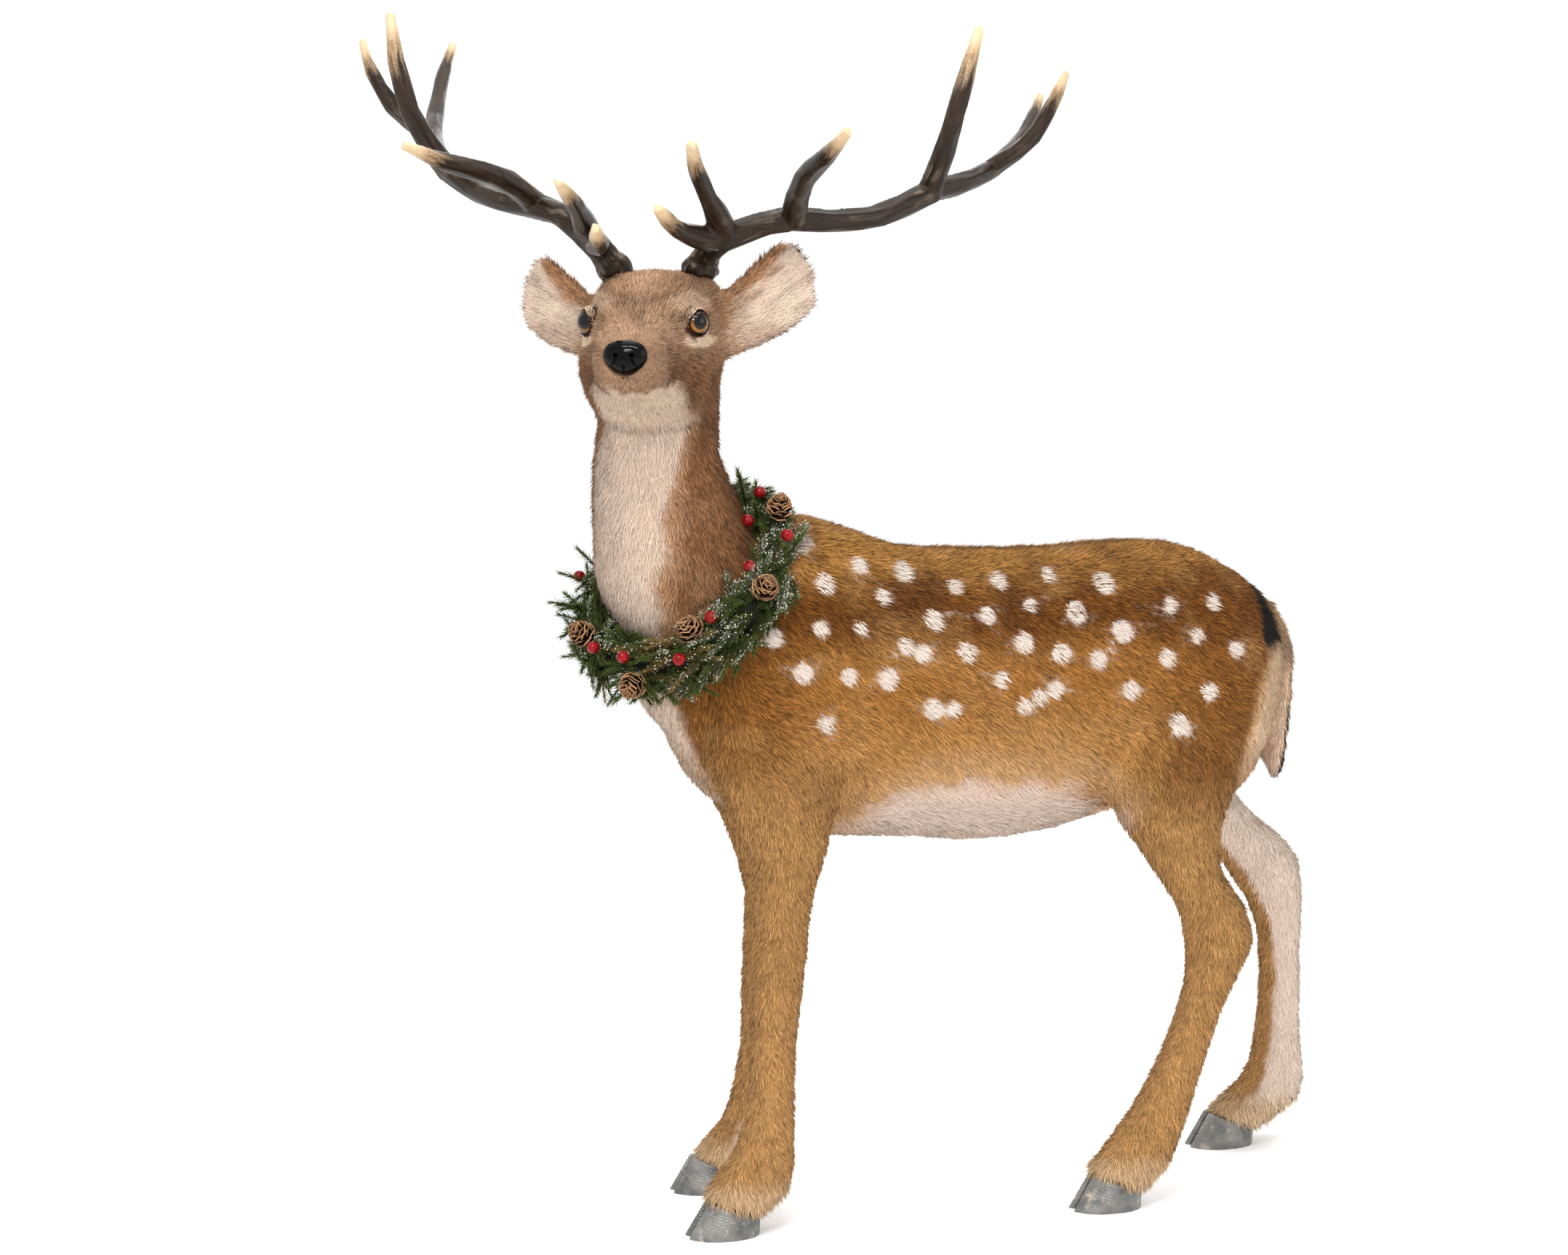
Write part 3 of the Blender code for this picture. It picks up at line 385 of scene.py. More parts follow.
def coatColour(points, normals, shares):  # shares holds how far each point belongs to each of the groups
    body, face = inStance(points), inHead(points)
    x, y, z = body.T
    cloud = softNoise(points, 0.06, 1)
    patch = softNoise(points, 0.028, 2)
    fleck = softNoise(points, 0.009, 3)
    rough = 0.5 * patch + 0.5 * fleck

    # barrel
    height = z + 0.012 * cloud + 0.006 * fleck
    trunk = mixed(tone["flank"], tone["upperFlank"], smoothStep(0.705, 0.775, height) * 0.95)
    trunk = mixed(trunk, tone["back"], smoothStep(0.79, 0.85, height) * 0.9)
    trunk = mixed(trunk, tone["lowerFlank"], smoothStep(0.69, 0.61, height) * 0.9)
    clouded = x + 0.02 * cloud
    trunk = mixed(trunk, tone["haunch"], smoothStep(0.54, 0.66, clouded) * smoothStep(0.86, 0.80, height) * 0.8)
    trunk = mixed(trunk, tone["haunch"], smoothStep(0.14, 0.04, clouded) * smoothStep(0.80, 0.70, height) * 0.7)
    mottle = smoothStep(0.15, 0.75, softNoise(points * [1, 1, 0.6], 0.05, 5))
    trunk = mixed(trunk, tone["mottle"], 0.45 * mottle * smoothStep(0.60, 0.68, z))
    trunk = mixed(trunk, tone["legOuter"], 0.35 * smoothStep(0.1, 0.7, softNoise(points, 0.045, 6)))
    under = z + 0.012 * patch + 0.006 * fleck + 0.050 * smoothStep(0.27, 0.13, x) + 0.05 * smoothStep(0.44, 0.56, x)
    trunk = mixed(trunk, tone["bellyEdge"], smoothStep(0.630, 0.575, under + 0.012 * cloud) * 0.7)
    trunk = mixed(trunk, tone["belly"], smoothStep(0.578, 0.548, under))
    dorsal = smoothStep(0.020, 0.010, np.abs(y) + 0.004 * rough) * smoothStep(0.12, 0.2, x) * (normals[:, 2] > 0.3)
    trunk = mixed(trunk, tone["dorsal"], dorsal * 0.55)
    bare = smoothStep(0.030, 0.055, np.abs(y))
    spotted = np.zeros(len(points))
    for along, up, radius in spotRows:
        away = np.hypot((x - along / 100) * 1.05, z - up / 100)
        near = away < 0.025
        if not near.any():
            continue
        edge = 0.93 * radius / 1000 * (1 + 0.16 * rough[near])
        strength = smoothStep(edge + 0.0024, edge - 0.0014, away[near]) * bare[near]
        spotted[near] = np.maximum(spotted[near], strength)
    # brisket and rump
    stripe = smoothStep(0.064, 0.048, np.abs(y) + 0.008 * rough + 0.3 * np.maximum(x, 0)) * smoothStep(0.06, 0.02, x)
    trunk = mixed(trunk, tone["neckStripe"], stripe)
    rumpEdge = 0.748 - 0.42 * np.maximum(0.72 - z, 0) + 0.15 * np.maximum(z - 0.80, 0)
    ragged = x + 0.005 * rough
    behind = smoothStep(rumpEdge, rumpEdge + 0.014, ragged)
    golden = smoothStep(rumpEdge - 0.016, rumpEdge, x + 0.006 * rough) * smoothStep(0.76, 0.72, z)
    black = smoothStep(rumpEdge - 0.014, rumpEdge - 0.006, ragged)
    black = black * smoothStep(rumpEdge + 0.050, rumpEdge + 0.030, ragged) * smoothStep(0.700, 0.730, z + 0.01 * patch)
    trunk = mixed(trunk, tone["bellyEdge"], golden)
    trunk = mixed(trunk, tone["rumpWhite"], behind)
    trunk = mixed(trunk, tone["rumpBlack"], black)
    trunk = mixed(trunk, tone["spot"], spotted)

    # neck
    axisX, axisY = neckAxis(z)
    bearing = np.degrees(np.arctan2(-(x - axisX), -(y - axisY)))
    middle = np.interp(z, neckStripe["height"], neckStripe["bearing"])
    half = np.interp(z, neckStripe["height"], neckStripe["half"])
    off = np.abs((bearing - middle + 180) % 360 - 180) + 7 * patch + 4 * fleck
    nape = np.maximum(smoothStep(90, 150, off), 0.7 * smoothStep(0.96, 1.02, z))
    neck = mixed(tone["neckSide"], tone["nape"], nape * 0.7)
    neck = mixed(neck, tone["neckEdge"], 0.35 * smoothStep(0.0, 0.8, softNoise(points, 0.05, 8)))
    neck = mixed(neck, tone["neckEdge"], smoothStep(half + 22, half + 6, off) * 0.75)
    neck = mixed(neck, tone["neckStripe"], smoothStep(half + 8, half - 6, off))

    # legs: outer side tan, inner side pale
    side = np.sign(shares[:, 6] + shares[:, 8] - shares[:, 5] - shares[:, 7])
    inward = -normals[:, 1] * side + 0.6 * normals[:, 0] * smoothStep(0.62, 0.50, z)
    legs = mixed(tone["legOuter"], tone["legLow"], smoothStep(0.42, 0.15, z + 0.02 * cloud) * 0.6)
    fore = smoothStep(0.30, 0.20, x)
    legs = mixed(legs, tone["haunch"], smoothStep(0.47, 0.60, z + 0.02 * cloud) * (0.85 - 0.60 * fore))
    legs = mixed(legs, tone["mottle"], 0.18 * smoothStep(0.2, 0.8, patch))
    legs = mixed(legs, tone["legInner"], smoothStep(0.30 + 0.25 * fore, 0.62 + 0.25 * fore, inward + 0.15 * rough))
    legs = mixed(legs, tone["fringe"], smoothStep(0.078, 0.050, z + 0.006 * rough) * 0.8)
    legs = mixed(legs, tone["spot"], spotted * (z > 0.55) * (inward < 0.2))

    # head
    across, out, up = face.T
    wide = np.abs(across)
    hazy = softNoise(points, 0.018, 12)
    cheek = smoothStep(-0.085, -0.13, up + 0.012 * hazy) * smoothStep(0.02, 0.05, wide)
    head = mixed(tone["head"], tone["cheek"], cheek)
    blaze = smoothStep(0.024, 0.006, wide + 0.006 * rough) * smoothStep(-0.055, -0.02, up)
    head = mixed(head, tone["headCentre"], blaze * 0.55)
    head = mixed(head, tone["headCentre"], smoothStep(0.090, 0.15, out) * smoothStep(-0.10, -0.08, up) * 0.6)
    streak = smoothStep(0.014, 0.003, np.abs(up + 0.043 - 0.50 * (wide - 0.012)) + 0.005 * rough)
    streak = streak * smoothStep(0.004, 0.018, wide) * smoothStep(0.062, 0.044, wide) * smoothStep(0.0, 0.03, out)
    head = mixed(head, tone["headStreak"], streak * (0.35 + 0.3 * fleck))
    head = mixed(head, tone["headStreak"], 0.45 * smoothStep(0.0, 0.6, hazy) * smoothStep(0.10, 0.05, wide))
    centre = smoothStep(0.020, 0.006, wide + 0.008 * rough) * smoothStep(-0.075, -0.055, up)
    centre = centre * smoothStep(-0.022, -0.036, up)
    head = mixed(head, tone["headStreak"], 0.5 * centre)
    band = smoothStep(-0.034, -0.022, up + 0.008 * rough) * smoothStep(0.0, 0.04, out) * smoothStep(0.060, 0.045, wide)
    head = mixed(head, tone["neckEdge"], 0.22 * band)
    muzzle = smoothStep(0.155, 0.180, out + 0.006 * rough) * smoothStep(-0.085, -0.11, up)
    head = mixed(head, tone["muzzle"], muzzle * 0.9)
    lip = -0.140 - 0.012 * smoothStep(0.045, 0.0, wide) + 0.05 * np.maximum(wide - 0.03, 0) + 0.010 * rough
    narrowed = wide + 0.006 * rough - 0.10 * np.minimum(up + 0.15, 0)
    jaw = smoothStep(lip + 0.006, lip - 0.004, up) * smoothStep(0.062, 0.048, narrowed)
    head = mixed(head, tone["jaw"], jaw * smoothStep(-0.01, 0.03, out + 0.01 * rough))
    brow = np.sqrt(((wide - 0.062) / 0.030) ** 2 + ((out - 0.085) / 0.05) ** 2 + ((up + 0.040) / 0.013) ** 2)
    beneath = np.sqrt(((wide - 0.074) / 0.018) ** 2 + ((out - 0.095) / 0.05) ** 2 + ((up + 0.087) / 0.009) ** 2)
    around = np.sqrt((wide - 0.071) ** 2 + (out - 0.095) ** 2 + (up + 0.066) ** 2)
    rims = np.maximum(smoothStep(1.3, 0.6, brow + 0.2 * rough) * 0.45, smoothStep(1.3, 0.7, beneath + 0.15 * rough))
    rims = np.maximum(rims, smoothStep(0.031, 0.023, around + 0.003 * rough) * smoothStep(0.055, 0.070, wide))
    head = mixed(head, tone["eyeRim"], rims * 0.9)
    head = mixed(head, tone["nape"], smoothStep(0.0, -0.05, out) * 0.6)

    # ears
    ears = np.zeros((len(points), 3))
    for index, sign in ((3, 1), (4, -1)):
        local, axes = inEar(points, sign)
        hollow = (normals @ axes)[:, 1]
        crease = softNoise(local * [2.2, 1, 0.5], 0.02, 9)
        # Grey streaks in the hollow are painted shade in the ear's creases.
        inner = mixed(tone["earInner"], tone["earCreaseShade"], 0.5 * smoothStep(0.25, 0.7, crease))
        upper = -sign * local[:, 0] / 0.045 - 0.9 * (local[:, 2] / 0.17 - 0.45) + 0.25 * crease + 0.12 * rough
        inner = mixed(inner, tone["earBase"], smoothStep(0.10, 0.55, upper) * 0.9)
        inner = mixed(inner, tone["earOuter"], smoothStep(0.45, 0.95, upper) * 0.8)
        inner = mixed(inner, tone["earBase"], smoothStep(0.050, 0.02, local[:, 2] + 0.008 * rough) * 0.6)
        outer = mixed(tone["earOuter"], tone["earBase"], smoothStep(0.06, 0.02, local[:, 2]) * 0.5)
        ears += shares[:, index, None] * mixed(outer, inner, smoothStep(-0.10, 0.25, hollow + 0.15 * rough))

    # tail
    tail = mixed(tone["rumpWhite"], tone["tailUnder"], smoothStep(0.76, 0.66, z))
    tail = mixed(tail, tone["bellyEdge"], smoothStep(0.25, 0.6, normals[:, 0] + 0.10 * rough))
    dark = smoothStep(0.45, 0.70, normals[:, 0] + 0.12 * rough) * smoothStep(0.75, 0.71, z)
    tail = mixed(tail, tone["tailBack"], dark)

    colour = shares[:, 0:1] * trunk + shares[:, 1:2] * neck + shares[:, 2:3] * head + ears
    colour += shares[:, 5:9].sum(axis=1, keepdims=True) * legs + shares[:, 9:10] * tail
    # Painted shade: the colour is darker by up to 30 % along the fold under the jaw.
    fromFold = (up + 0.200 - 0.25 * np.maximum(wide - 0.025, 0) + 0.003 * patch) / 0.0035
    fold = np.exp(-fromFold ** 2) * smoothStep(0.065, 0.05, wide)
    colour = colour * (1 - 0.30 * fold * smoothStep(0.0, 0.03, out))[:, None]
    return colour * (1 + (0.16 * fleck + 0.10 * patch) * (1.1 - colour.mean(axis=1)) ** 1.5)[:, None]


earShape = {"root": (0.064, 0.004, -0.088), "back": 36, "upRight": 23, "upLeft": 32, "length": 0.168, "twist": -8}


def earFrame(side):  # x across the leaf, y out of its hollow, z toward its tip
    up, back = math.radians(earShape["upRight" if side > 0 else "upLeft"]), math.radians(earShape["back"])
    tip = Vector((side * math.cos(back) * math.cos(up), -math.sin(back) * math.cos(up), math.sin(up)))
    hollow = (Vector((0, 1, 0)) - tip * tip.y).normalized()
    hollow = Matrix.Rotation(side * math.radians(earShape["twist"]), 3, tip) @ hollow
    axes = Matrix((hollow.cross(tip), hollow, tip)).transposed().to_4x4()
    root = Vector((side * earShape["root"][0], *earShape["root"][1:]))
    return headFrame @ Matrix.Translation(root) @ axes


earFrames = {side: earFrame(side) for side in (1, -1)}


def inEar(points, side):  # places in an ear's frame, and the frame's axes
    axes = np.array(earFrames[side].to_3x3())
    return (points - np.array(earFrames[side].translation)) @ axes, axes


skinLook = {"swell": 0.0004, "voxel": 0.0038, "rounds": 34, "triangles": 130000, "headFrom": 1.03}
# How deep the skin lies under the coat's outline in each group, in metres.
coatDepth = dict(trunk=0.0046, neck=0.0046, head=0.0026, ear_right=0.0014, ear_left=0.0014, leg_front_left=0.0032,
                 leg_front_right=0.0032, leg_hind_left=0.0032, leg_hind_right=0.0032, tail=0.0030)
# Forms pressed out of or into the flesh: frame, place, radii in metres, and how far out along the surface.
forms = [
    ("stance", (0.075, -0.135, 0.640), (0.075, 0.06, 0.09), 0.006),  # shoulder
    ("stance", (0.075, 0.135, 0.640), (0.075, 0.06, 0.09), 0.006),
    ("stance", (0.165, -0.125, 0.560), (0.035, 0.05, 0.05), 0.008),  # behind the elbow
    ("stance", (0.180, 0.125, 0.560), (0.035, 0.05, 0.05), 0.008),
    ("stance", (0.500, -0.125, 0.575), (0.040, 0.05, 0.07), -0.004),  # flank fold
    ("stance", (0.510, 0.125, 0.575), (0.040, 0.05, 0.07), -0.004),
    ("stance", (0.600, -0.150, 0.620), (0.080, 0.06, 0.10), 0.005),  # thigh
    ("stance", (0.610, 0.150, 0.620), (0.080, 0.06, 0.10), 0.005),
    ("head", (0.050, 0.080, -0.025), (0.022, 0.025, 0.012), 0.004),  # brow
    ("head", (-0.050, 0.080, -0.025), (0.022, 0.025, 0.012), 0.004),
    ("head", (0.050, 0.118, -0.085), (0.014, 0.022, 0.014), -0.004),  # before the eye
    ("head", (-0.050, 0.118, -0.085), (0.014, 0.022, 0.014), -0.004),
    ("head", (0.062, 0.075, -0.125), (0.030, 0.035, 0.025), 0.003),  # cheek
    ("head", (-0.062, 0.075, -0.125), (0.030, 0.035, 0.025), 0.003),
    ("head", (0.0, 0.196, -0.133), (0.030, 0.014, 0.005), -0.004),  # mouth
    ("head", (0.0, 0.085, -0.170), (0.055, 0.040, 0.020), 0.005),  # jaw, and the fold under it
    ("head", (0.0, 0.070, -0.201), (0.036, 0.050, 0.008), -0.008),
    ("head", (0.045, 0.065, -0.190), (0.024, 0.050, 0.008), -0.007),
    ("head", (-0.045, 0.065, -0.190), (0.024, 0.050, 0.008), -0.007),
]


def pressForms(points, normals, table):
    places = {"stance": inStance(points), "head": inHead(points)}
    for where, centre, radii, push in table:
        away = ((places[where] - np.array(centre)) / np.array(radii)) ** 2
        points = points + normals * (push * np.exp(-1.2 * away.sum(axis=1)))[:, None]
    return points


eyeShape = {"radius": 0.0172, "lidOut": 0.0019, "lidIn": 0.0060, "softness": 8, "near": 0.030}
# Round the socket, from the nose up and over: how wide the lids open in degrees, and the felt edge in metres.
lidBearing = [-180, -135, -90, -45, -20, 5, 22, 45, 70, 90, 112, 140, 180]
lidOpen = [60, 60, 58, 60, 62, 60, 57, 56, 58, 60, 60, 60, 60]
feltEdge = [0.0036, 0.0030, 0.0026, 0.0040, 0.0044, 0.0028, 0.0010, 0.0002, 0.0002, 0.0006, 0.0016, 0.0028, 0.0036]
eyeSocket = {side: (headFrame.to_3x3() @ Vector((side * 0.80, 0.60, 0.03))).normalized() for side in (1, -1)}
eyeGaze = {side: (headFrame.to_3x3() @ Vector((side * across, ahead, 0.04))).normalized()
           for side, across, ahead in ((1, 0.32, 0.95), (-1, 0.61, 0.79))}
eyeMiddle = {}
for side, name in ((1, "eye_right"), (-1, "eye_left")):
    low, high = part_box(name)
    eyeMiddle[side] = (low + high) / 2


def eyeAxes(side):  # the socket's axis, toward the nose, and up
    gaze = np.array(eyeSocket[side])
    upright = np.array((0.0, 0.0, 1.0)) - gaze * gaze[2]
    upright /= np.linalg.norm(upright)
    return gaze, np.cross(upright, gaze) * side, upright


def eyeAngles(points, side):  # angle from the socket's axis, bearing round it with 0 toward the nose, and distance
    gaze, front, upright = eyeAxes(side)
    away = points - np.array(eyeMiddle[side])
    distance = np.linalg.norm(away, axis=1)
    angle = np.degrees(np.arccos(np.clip(away @ gaze / np.maximum(distance, 1e-9), -1, 1)))
    return angle, np.arctan2(away @ upright, away @ front), distance


def lidEdge(bearing):  # how far the lids stand from the socket's axis, in degrees
    return np.interp(np.degrees(bearing), lidBearing, lidOpen)


def feltLimit(bearing):  # where the felt ends and the hair starts, in degrees
    return lidEdge(bearing) + np.degrees(np.interp(np.degrees(bearing), lidBearing, feltEdge) / eyeShape["radius"])


def setLids(points):
    for side in (1, -1):
        angle, bearing, distance = eyeAngles(points, side)
        near = (distance < eyeShape["radius"] + 0.016) & (angle < 100)
        edge = lidEdge(bearing)
        rim = eyeShape["radius"] + eyeShape["lidOut"]
        inside = smoothStep(edge + eyeShape["softness"] / 2, edge - eyeShape["softness"] / 2, angle)
        wanted = rim - (eyeShape["lidOut"] + eyeShape["lidIn"]) * inside
        share = np.maximum(inside, smoothStep(edge + 30, edge + 4, angle)) * near
        centre = np.array(eyeMiddle[side])
        direction = unit(points - centre)
        reach = distance + (wanted - distance) * share
        reach = np.where(near & (angle < 96), np.maximum(reach, wanted), reach)
        points = np.where(near[:, None], centre + direction * reach[:, None], points)
    return points


def fleshShares(points):  # how far each point belongs to each group, from its distance to the group's CAD node
    away = np.empty((len(points), len(groupNames)))
    for index, name in enumerate(groupNames):
        bm = nodeCopy(name)
        tree = BVHTree.FromBMesh(bm)
        bm.free()
        low, high = (np.array(corner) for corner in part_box(name))
        away[:, index] = np.linalg.norm(np.maximum(np.maximum(low - points, points - high), 0), axis=1) + 0.05
        for row in np.flatnonzero(away[:, index] < 0.11):
            away[row, index] = tree.find_nearest(points[row])[3]
    shares = np.exp(-(np.maximum(away - 0.004, 0) / 0.014) ** 2) + 1e-6
    return shares / shares.sum(axis=1, keepdims=True)


def split(bm, faces):  # cuts every edge of those faces in two
    edges = list({edge for face in faces for edge in face.edges})
    bmesh.ops.subdivide_edges(bm, edges=edges, cuts=1, use_grid_fill=True, smooth=0.0)


def makeSkin():
    mesh = remeshed(swollen(nodeCopy(*groupNames), skinLook["swell"]), "skin", skinLook["voxel"])
    setPoints(mesh, relaxed(pointsOf(mesh), edgesOf(mesh), skinLook["rounds"]))
    bm = bmesh.new()
    bm.from_mesh(mesh)
    start, ahead = headFrame @ Vector((0, 0.02, -0.07)), headFrame.to_3x3() @ Vector((0, 1, 0))
    centres = [(f, f.calc_center_median()) for f in bm.faces]
    split(bm, [f for f, centre in centres if (centre - start).dot(ahead) > 0 and centre.z > skinLook["headFrom"]])
    for side in (1, -1):
        split(bm, [f for f in bm.faces if (f.calc_center_median() - eyeMiddle[side]).length < eyeShape["near"]])
    bmesh.ops.triangulate(bm, faces=[f for f in bm.faces if len(f.verts) > 4])
    bm.to_mesh(mesh)
    bm.free()
    setPoints(mesh, relaxed(pointsOf(mesh), edgesOf(mesh), 3))
    points = pressForms(pointsOf(mesh), normalsOf(mesh), forms)
    setPoints(mesh, points)
    shares = fleshShares(points)
    depth = shares @ np.array([coatDepth[name] for name in groupNames])
    points = points - normalsOf(mesh) * depth[:, None]
    points = setLids(points)
    setPoints(mesh, points)

    # fewer triangles on the barrel, where the form is broad
    piece = placed("skin", mesh)
    keep = piece.vertex_groups.new(name="fine")
    fine = np.clip(shares[:, 2:5].sum(axis=1) + 0.35 * shares[:, 5:10].sum(axis=1), 0, 1)
    for level in (0.25, 0.5, 0.75, 1.0):
        chosen = np.flatnonzero((fine > level - 0.25) & (fine <= level))
        keep.add(chosen.tolist(), level, "REPLACE")
    decimate = piece.modifiers.new("decimate", "DECIMATE")
    decimate.ratio = min(1.0, skinLook["triangles"] / sum(len(f.vertices) - 2 for f in mesh.polygons))
    decimate.vertex_group = "fine"
    decimate.invert_vertex_group = True
    decimate.vertex_group_factor = 3.0
    decimate.use_collapse_triangulate = True
    mesh = appliedMesh(piece)
    bpy.data.objects.remove(piece)
    mesh.name = "skin"
    shadeSmooth(mesh)
    return mesh


def unwrap(mesh):
    piece = placed("unwrapping", mesh)
    bpy.context.view_layer.objects.active = piece
    piece.select_set(True)
    mesh.uv_layers.new(name="lay")
    bpy.ops.object.mode_set(mode="EDIT")
    bpy.ops.mesh.select_all(action="SELECT")
    bpy.ops.uv.smart_project(angle_limit=math.radians(66), island_margin=0.002)
    bpy.ops.object.mode_set(mode="OBJECT")
    bpy.data.objects.remove(piece)


skinMesh = makeSkin()
unwrap(skinMesh)
skinPoints, skinNormals = pointsOf(skinMesh), normalsOf(skinMesh)
skinShares = fleshShares(skinPoints)
skinColour = coatColour(skinPoints, skinNormals, skinShares)
for side in (1, -1):  # the dark felt round and inside the sockets
    angle, bearing, distance = eyeAngles(skinPoints, side)
    edge = feltLimit(bearing)
    dark = smoothStep(edge + 3, edge - 3, angle) * (distance < eyeShape["near"])
    skinColour = mixed(skinColour, tone["felt"] / 0.8, dark)
# The skin under the hairs is painted a fifth darker, as painted shade beneath the coat; the felt was divided by 0.8
# above so that it keeps its own colour.
setAttribute(skinMesh, "coatColour", skinColour * 0.80)
addPiece("skin", skinMesh, furMaterial("skinFur", 0.9, 420.0, 1500.0, 0.0016), "plush", *groupNames)
print("the skin has", len(skinMesh.polygons), "faces")


coatLook = {"perSquareMetre": 172000, "most": 48000, "patch": 0.003, "onLids": 1100, "sunk": 0.0004, "keel": 0.0012}
# Length, width in metres and lift in degrees of the tufts in each group.
tuftShape = {
    "trunk": (0.0112, 0.0014, 21), "neck": (0.0112, 0.0014, 23), "head": (0.0090, 0.0012, 25),
    "ear_right": (0.0090, 0.0013, 22), "ear_left": (0.0090, 0.0013, 22), "leg_front_left": (0.0095, 0.0014, 24),
    "leg_front_right": (0.0095, 0.0014, 24), "leg_hind_left": (0.0095, 0.0014, 24),
    "leg_hind_right": (0.0095, 0.0014, 24), "tail": (0.0125, 0.0015, 18),
}
shareOfTufts = {"head": 2.1, "ear_right": 1.9, "ear_left": 1.9, "tail": 1.3, "neck": 1.2, "leg_front_left": 0.9,
                "leg_front_right": 0.9, "leg_hind_left": 0.85, "leg_hind_right": 0.85}


def layOfCoat(points, normals, shares):  # which way the hair points
    body, face = inStance(points), inHead(points)
    swirl = np.stack([softNoise(points, 0.05, seed) for seed in (20, 21, 22)], axis=1)
    flankSide = smoothStep(0.02, 0.10, np.abs(body[:, 1]))
    trunk = np.stack([np.ones(len(points)), np.zeros(len(points)), -0.85 * flankSide], axis=1)
    chest = smoothStep(0.06, -0.02, body[:, 0])[:, None]
    trunk = trunk * (1 - chest) + np.array([0.1, 0.0, -1.0]) * chest
    low = smoothStep(0.58, 0.53, body[:, 2])[:, None]
    trunk = trunk * (1 - low) + np.array([1.0, 0.0, 0.0]) * low
    rear = smoothStep(0.70, 0.76, body[:, 0])[:, None]
    trunk = trunk * (1 - rear) + np.array([0.2, 0.0, -1.0]) * rear
    neck = np.tile(np.array([0.15, 0.0, -1.0]), (len(points), 1))
    head = unit(face - np.array([0.0, 0.215, -0.085]))
    head[:, 2] -= 0.25 * smoothStep(-0.08, -0.14, face[:, 2])
    head = head @ headTurn.T
    legs = np.tile(np.array([0.12, 0.0, -1.0]), (len(points), 1))
    tail = np.tile(np.array([0.0, 0.0, -1.0]), (len(points), 1))
    way = shares[:, 0:1] * trunk + shares[:, 1:2] * neck + shares[:, 2:3] * head
    for index, sign in ((3, 1), (4, -1)):
        local, axes = inEar(points, sign)
        leaf = np.stack([6 * local[:, 0], np.zeros(len(points)), np.ones(len(points))], axis=1)
        way += shares[:, index, None] * (unit(leaf) @ axes.T)
    way += shares[:, 5:9].sum(axis=1, keepdims=True) * legs + shares[:, 9:10] * tail
    way = way + 0.22 * swirl
    way -= normals * (way * normals).sum(axis=1, keepdims=True)
    return unit(way)


def tuftRoots(mesh, shares):
    triangles = readArray(mesh.loop_triangles, "vertices", 3, np.int32)
    loops = readArray(mesh.loop_triangles, "loops", 3, np.int32)
    corners = pointsOf(mesh)[triangles]
    area = 0.5 * np.linalg.norm(np.cross(corners[:, 1] - corners[:, 0], corners[:, 2] - corners[:, 0]), axis=1)
    weight = np.array([shareOfTufts.get(name, 1.0) for name in groupNames])
    count = area * coatLook["perSquareMetre"] * (shares[triangles].mean(axis=1) @ weight)
    count = np.floor(count + dice.random(len(count))).astype(int)
    owner = np.repeat(np.arange(len(count)), count)
    first, second = dice.random(len(owner)), dice.random(len(owner))
    flip = first + second > 1
    first[flip], second[flip] = 1 - first[flip], 1 - second[flip]
    share = np.stack([1 - first - second, first, second], axis=1)
    return owner, share, triangles, loops


